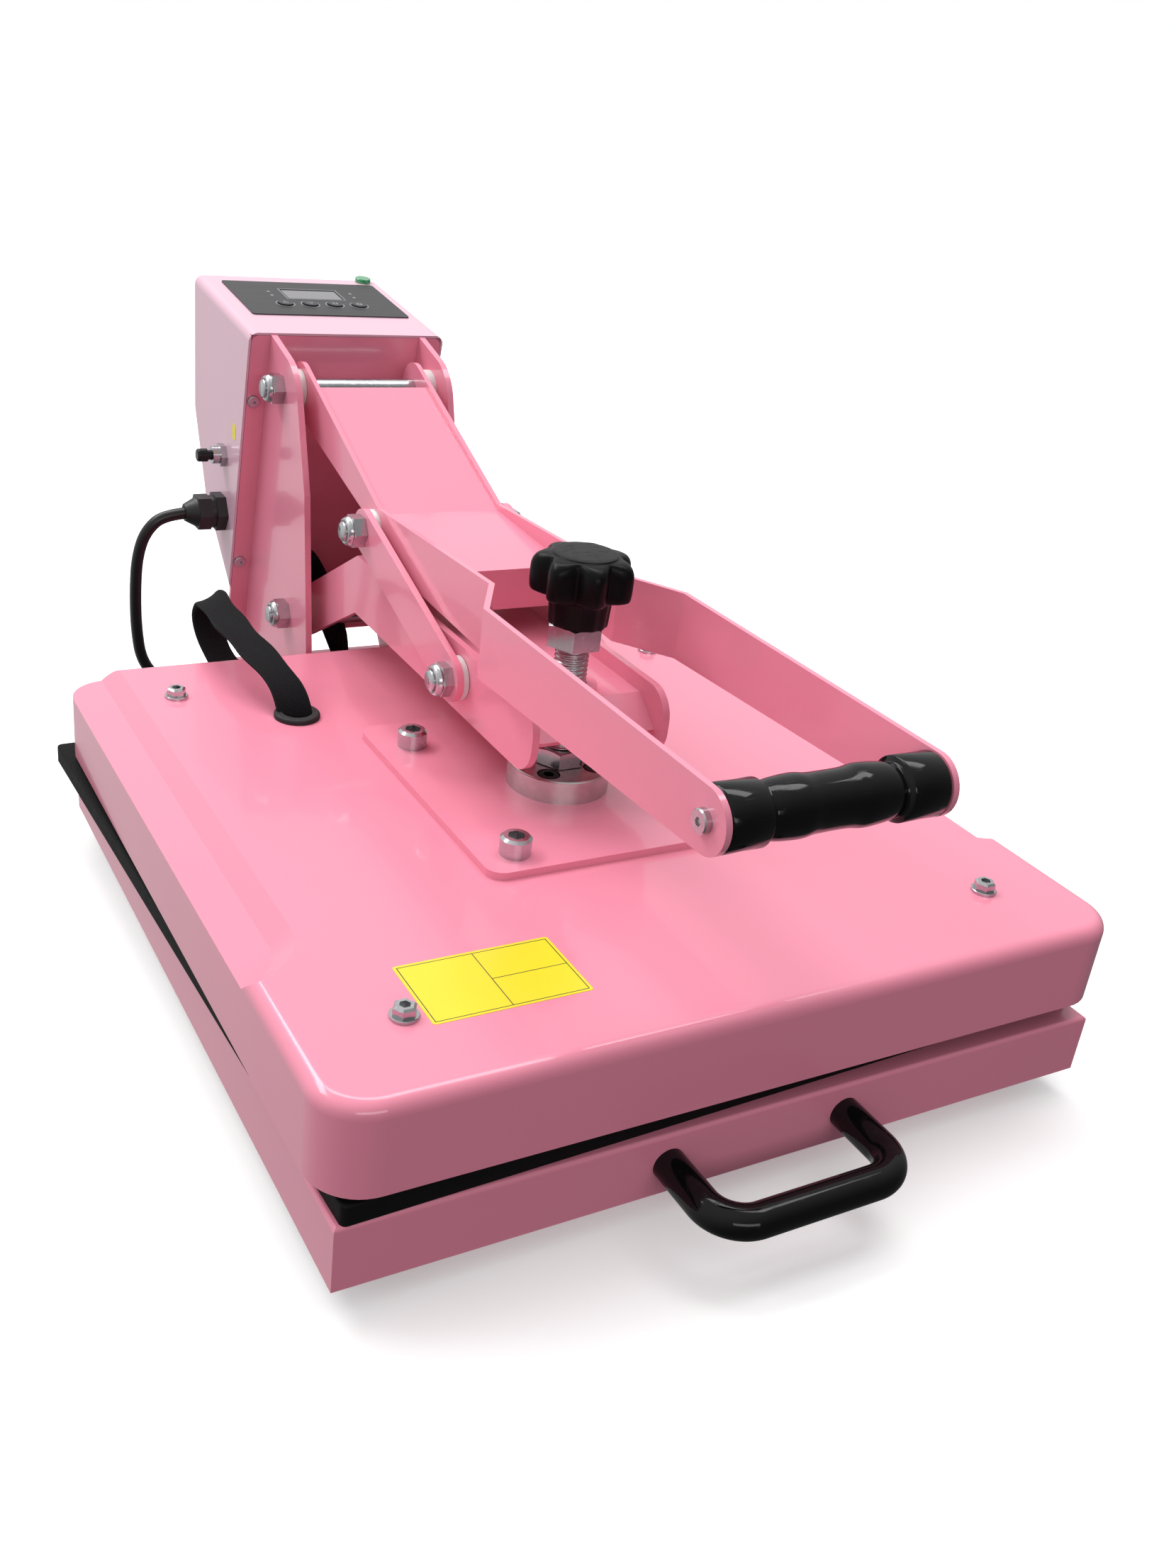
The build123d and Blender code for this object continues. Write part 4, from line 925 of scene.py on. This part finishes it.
class PRESS_OT_heater_sleeve(PieceOperator):
    """Flat braided sleeve from the cover's grommet to the column"""

    bl_idname = "heat_press.heater_sleeve"
    bl_label = "Heater sleeve"

    def build(self):
        width, thickness = sizes().sleeve_width, sizes().sleeve_thickness
        line = spline_points("sleeve_line", [[c * MM for c in p] for p in SLEEVE_ROUTE])
        reach = [0.0]
        for a, b in zip(line, line[1:]):
            reach.append(reach[-1] + (b - a).length)
        section = self.section(width, thickness)
        vertices, faces, chart = [], [], []
        for i, point in enumerate(line):
            tangent = (line[min(i + 1, len(line) - 1)] - line[max(i - 1, 0)]).normalized()
            side = self.face_at(reach[i] / reach[-1])
            side = (side - tangent * side.dot(tangent)).normalized()
            up = tangent.cross(side)
            sag = 1.0 + 0.06 * math.sin(reach[i] * 140.0)
            for u, v in section:
                cup = 0.10 * width * (2 * u / width) ** 2
                vertices.append(point + side * (u * sag) + up * (v - cup))
                chart.append((u, reach[i]))
        count = len(section)
        for i in range(len(line) - 1):
            for k in range(count):
                a, b = i * count + k, i * count + (k + 1) % count
                faces.append((a, b, b + count, a + count))
        faces += [tuple(range(count - 1, -1, -1)), tuple(range((len(line) - 1) * count, len(line) * count))]
        weave = braid("braided_sleeve", (0.009, 0.009, 0.010), width, 2.4 * MM)
        band = new_piece("heater_band", vertices, faces, weave)
        layer = band.data.uv_layers.new(name="band")
        for loop in band.data.loops:
            layer.data[loop.index].uv = chart[loop.vertex_index]
        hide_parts("heater_sleeve")
        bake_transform(band)
        tuple(line[0])
        [tuple(p) for p in line]

    def section(self, width, thickness):
        """Rounded outline of the flat sleeve, across and through."""
        half, edge = width / 2 - thickness / 2, thickness / 2
        outline = [(half * (1 - 2 * k / 6), edge) for k in range(7)]
        turns = [math.pi * k / 5 for k in range(1, 5)]
        outline += [(-half - edge * math.sin(turn), edge * math.cos(turn)) for turn in turns]
        outline += [(-half + 2 * half * k / 6, -edge) for k in range(7)]
        outline += [(half + edge * math.sin(turn), -edge * math.cos(turn)) for turn in turns]
        return outline

    def face_at(self, share):
        """Direction of the sleeve's width at a share of its route."""
        for (before, first), (after, second) in zip(SLEEVE_FACES, SLEEVE_FACES[1:]):
            if share <= after:
                t = (share - before) / (after - before)
                return Vector(first).lerp(Vector(second), t * t * (3 - 2 * t)).normalized()
        return Vector(SLEEVE_FACES[-1][1])


CORD_ROUTE = (
    (-80, 285, 144),
    (-106, 285, 144),
    (-120, 286.5, 132),
    (-125.5, 289.5, 112),
    (-126, 294, 85),
    (-124.5, 299, 56),
    (-120, 304, 29),
    (-105, 309, 9),
    (-76, 312, 4.2),
    (-32, 312.5, 4.3),
    (14, 307, 4.2),
    (54, 295, 4.3),
    (80, 272, 4.2),
)
COIL_CENTRE = (142.0, 218.0)
# Turns of the coil, radius and height of each: the lower layer inwards, then the upper one out.
COIL_TURNS = ((53.0, 4.1), (45.0, 4.1), (37.0, 4.1), (41.0, 11.0), (49.0, 11.0))
COIL_START, COIL_ANGLE = 160.0, 1652.0
TAIL_ROUTE = (
    (187.0, 246.0, 11.6), (181.5, 266.0, 9.8), (167.0, 283.0, 9.0), (147.0, 291.0, 12.0),
)


def coil_points(steps):
    """Control points of the coil's turns, in millimetres."""
    total = COIL_ANGLE / 360.0
    count = round(total * steps)
    points = []
    for k in range(count + 1):
        turns = total * k / count
        level = min(int(turns), len(COIL_TURNS) - 1)
        following = min(level + 1, len(COIL_TURNS) - 1)
        share = max(0.0, (turns - level - 0.75) / 0.25)
        share = share * share * (3 - 2 * share)
        radius = COIL_TURNS[level][0] * (1 - share) + COIL_TURNS[following][0] * share
        height = COIL_TURNS[level][1] * (1 - share) + COIL_TURNS[following][1] * share
        angle = math.radians(COIL_START + 360.0 * turns)
        across, back = radius * math.cos(angle), radius * math.sin(angle)
        points.append((COIL_CENTRE[0] + across, COIL_CENTRE[1] + back, height))
    return points


class PRESS_OT_mains_cord(PieceOperator):
    """Mains cord with its coil, tie and plug"""

    bl_idname = "heat_press.mains_cord"
    bl_label = "Mains cord"

    def build(self):
        jacket = cord_jacket("cord_jacket", (0.005, 0.005, 0.0055))
        route = list(CORD_ROUTE) + coil_points(sizes().coil_steps) + list(TAIL_ROUTE)
        cord = cord_curve("mains_cord", [[c * MM for c in p] for p in route], sizes().cord_diameter / 2)
        cord.data.materials.append(jacket)
        paint_nodes(jacket, "plug_body")
        tie = self.tie()
        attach(cord, "base")
        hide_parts("power_cord", "cord_coil")
        tuple(c * MM for c in CORD_ROUTE[0])

    def tie(self):
        """Hook-and-loop strap round the coil's turns."""
        middle, half, high, angle = 45.0, 13.2, 16.2, math.radians(250.0)
        outline = []
        for k in range(40):
            t = math.tau * k / 40
            squareness = 0.42
            u = math.copysign(abs(math.cos(t)) ** squareness, math.cos(t)) * half
            v = math.copysign(abs(math.sin(t)) ** squareness, math.sin(t)) * (high / 2 - 0.4)
            outline.append((middle + u, high / 2 + v))
        out = Vector((math.cos(angle), math.sin(angle), 0.0))
        along = Vector((-math.sin(angle), math.cos(angle), 0.0))
        centre = Vector((*COIL_CENTRE, 0.0))
        vertices, faces = [], []
        widths = (-6.0, -5.2, 0.0, 5.2, 6.0)
        for w in widths:
            swell = 0.0 if abs(w) > 5.5 else 0.55
            for r, z in outline:
                grow = Vector((r - middle, z - high / 2)).normalized() * swell
                lift = Vector((0, 0, max(0.05, z + grow.y)))
                vertices.append((centre + out * (r + grow.x) + along * w + lift) * MM)
        count = len(outline)
        for i in range(len(widths) - 1):
            for k in range(count):
                a, b = i * count + k, i * count + (k + 1) % count
                faces.append((a, b, b + count, a + count))
        loops = moulded_matte("hook_and_loop", (0.02, 0.02, 0.022), 0.8, 900.0)
        strap = new_piece("coil_tie", vertices, faces, loops)
        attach(strap, "base")
        return strap


# ---------------------------------------------------------------- stage
EYE = Vector((-376.52, -709.77, 462.68)) * MM
LOOK = Vector((0.48023, 0.75441, -0.44748))
ROLL = math.radians(7.36)


class PRESS_OT_stage(PieceOperator):
    """Pale floor, soft lights and the camera"""

    bl_idname = "heat_press.stage"
    bl_label = "Stage"

    def build(self):
        self.floor()
        self.world()
        self.light("key", (-1.0, 1.3, 2.0), 1.1, 28.0)
        self.light("overhead", (0.5, 0.5, 2.3), 1.3, 28.0)
        self.light("fill", (-0.5, -2.4, 0.9), 1.0, 11.0)
        self.camera()

    def floor(self):
        rings = (0.0, 1.0, 3.0, 8.0, 24.0)
        around = 48
        vertices, faces = [(0.0, 0.0, 0.0)], []
        for r in rings[1:]:
            vertices += [
                (r * math.cos(math.tau * k / around), r * math.sin(math.tau * k / around), 0.0)
                for k in range(around)
            ]
        for k in range(around):
            j = (k + 1) % around
            faces.append((0, 1 + k, 1 + j))
            for ring in range(len(rings) - 2):
                a, b = 1 + ring * around, 1 + (ring + 1) * around
                faces.append((a + k, b + k, b + j, a + j))
        ground = new_piece("studio_floor", vertices, faces, studio_floor("paper", (0.93, 0.93, 0.93)))
        ground.visible_diffuse = ground.visible_glossy = False

    def world(self):
        world = bpy.data.worlds.new("studio")
        world.use_nodes = True
        tree = world.node_tree

        def add(kind, **settings):
            made = tree.nodes.new(kind)
            for key, value in settings.items():
                setattr(made, key, value)
            return made

        # Room light comes from above and behind the press and falls off to its front.
        aim = add("ShaderNodeVectorMath", operation="DOT_PRODUCT")
        aim.inputs[1].default_value = (-0.35, 0.62, 0.70)
        tree.links.new(add("ShaderNodeTexCoord").outputs["Generated"], aim.inputs[0])
        share = add("ShaderNodeMapRange", interpolation_type="SMOOTHSTEP")
        share.inputs["From Min"].default_value, share.inputs["From Max"].default_value = -0.75, 0.9
        tree.links.new(aim.outputs["Value"], share.inputs["Value"])
        room = add("ShaderNodeMix", data_type="RGBA")
        room.inputs[6].default_value = (0.10, 0.10, 0.105, 1.0)
        room.inputs[7].default_value = (0.86, 0.86, 0.86, 1.0)
        tree.links.new(share.outputs[0], room.inputs[0])
        lit, seen = tree.nodes["Background"], add("ShaderNodeBackground")
        tree.links.new(room.outputs[2], lit.inputs["Color"])
        seen.inputs["Color"].default_value = (1.0, 1.0, 1.0, 1.0)
        path, mix = add("ShaderNodeLightPath"), add("ShaderNodeMixShader")
        tree.links.new(path.outputs["Is Camera Ray"], mix.inputs[0])
        tree.links.new(lit.outputs[0], mix.inputs[1])
        tree.links.new(seen.outputs[0], mix.inputs[2])
        tree.links.new(mix.outputs[0], tree.nodes["World Output"].inputs["Surface"])
        bpy.context.scene.world = world
        bpy.context.scene.view_settings.view_transform = "Standard"

    def light(self, name, place, size, power):
        lamp = bpy.data.lights.new(name, "AREA")
        lamp.shape, lamp.size, lamp.size_y, lamp.energy = "RECTANGLE", size * 1.9, size * 0.5, power
        piece = bpy.data.objects.new(name, lamp)
        piece.location = place
        piece.rotation_euler = (Vector((0.0, -0.08, 0.1)) - Vector(place)).to_track_quat("-Z", "Y").to_euler()
        bpy.context.scene.collection.objects.link(piece)

    def camera(self):
        data = bpy.data.cameras.new("camera")
        data.lens, data.sensor_width = sizes().lens, 36.0
        data.shift_x, data.shift_y = 0.0034, 0.0082
        data.clip_start, data.clip_end = 0.02, 60.0
        eye = bpy.data.objects.new("camera", data)
        level = LOOK.cross(Vector((0.0, 0.0, 1.0))).normalized()
        above = level.cross(LOOK).normalized()
        right = level * math.cos(ROLL) + above * math.sin(ROLL)
        up = above * math.cos(ROLL) - level * math.sin(ROLL)
        turn = Matrix((right, up, -LOOK.normalized())).transposed()
        eye.matrix_world = Matrix.Translation(EYE) @ turn.to_4x4()
        bpy.context.scene.collection.objects.link(eye)
        bpy.context.scene.camera = eye


class PRESS_PT_panel(bpy.types.Panel):
    """Heat press pieces"""

    bl_idname = "PRESS_PT_panel"
    bl_label = "Heat press"
    bl_space_type = "VIEW_3D"
    bl_region_type = "UI"
    bl_category = "Heat press"

    def draw(self, context):
        for operator in OPERATORS:
            self.layout.operator(operator.bl_idname)
        for group in (context.scene.heat_press_colours, context.scene.heat_press_sizes):
            for name in group.bl_rna.properties.keys():
                if name not in ("rna_type", "name"):
                    self.layout.prop(group, name)


OPERATORS = (
    PRESS_OT_stage, PRESS_OT_steelwork, PRESS_OT_hardware, PRESS_OT_spindle, PRESS_OT_nut_collars,
    PRESS_OT_grip, PRESS_OT_knob, PRESS_OT_mouldings,
    PRESS_OT_rubber, PRESS_OT_heating, PRESS_OT_panel, PRESS_OT_labels, PRESS_OT_heater_sleeve,
    PRESS_OT_mains_cord,
)
CLASSES = (PressColours, PressSizes, *OPERATORS, PRESS_PT_panel)


def register():
    for item in CLASSES:
        bpy.utils.register_class(item)
    bpy.types.Scene.heat_press_colours = PointerProperty(type=PressColours)
    bpy.types.Scene.heat_press_sizes = PointerProperty(type=PressSizes)


def unregister():
    del bpy.types.Scene.heat_press_sizes
    del bpy.types.Scene.heat_press_colours
    for item in reversed(CLASSES):
        bpy.utils.unregister_class(item)


def main():
    register()
    for operator in OPERATORS:
        group, name = operator.bl_idname.split(".")
        getattr(getattr(bpy.ops, group), name)()


if __name__ == "__main__":
    main()
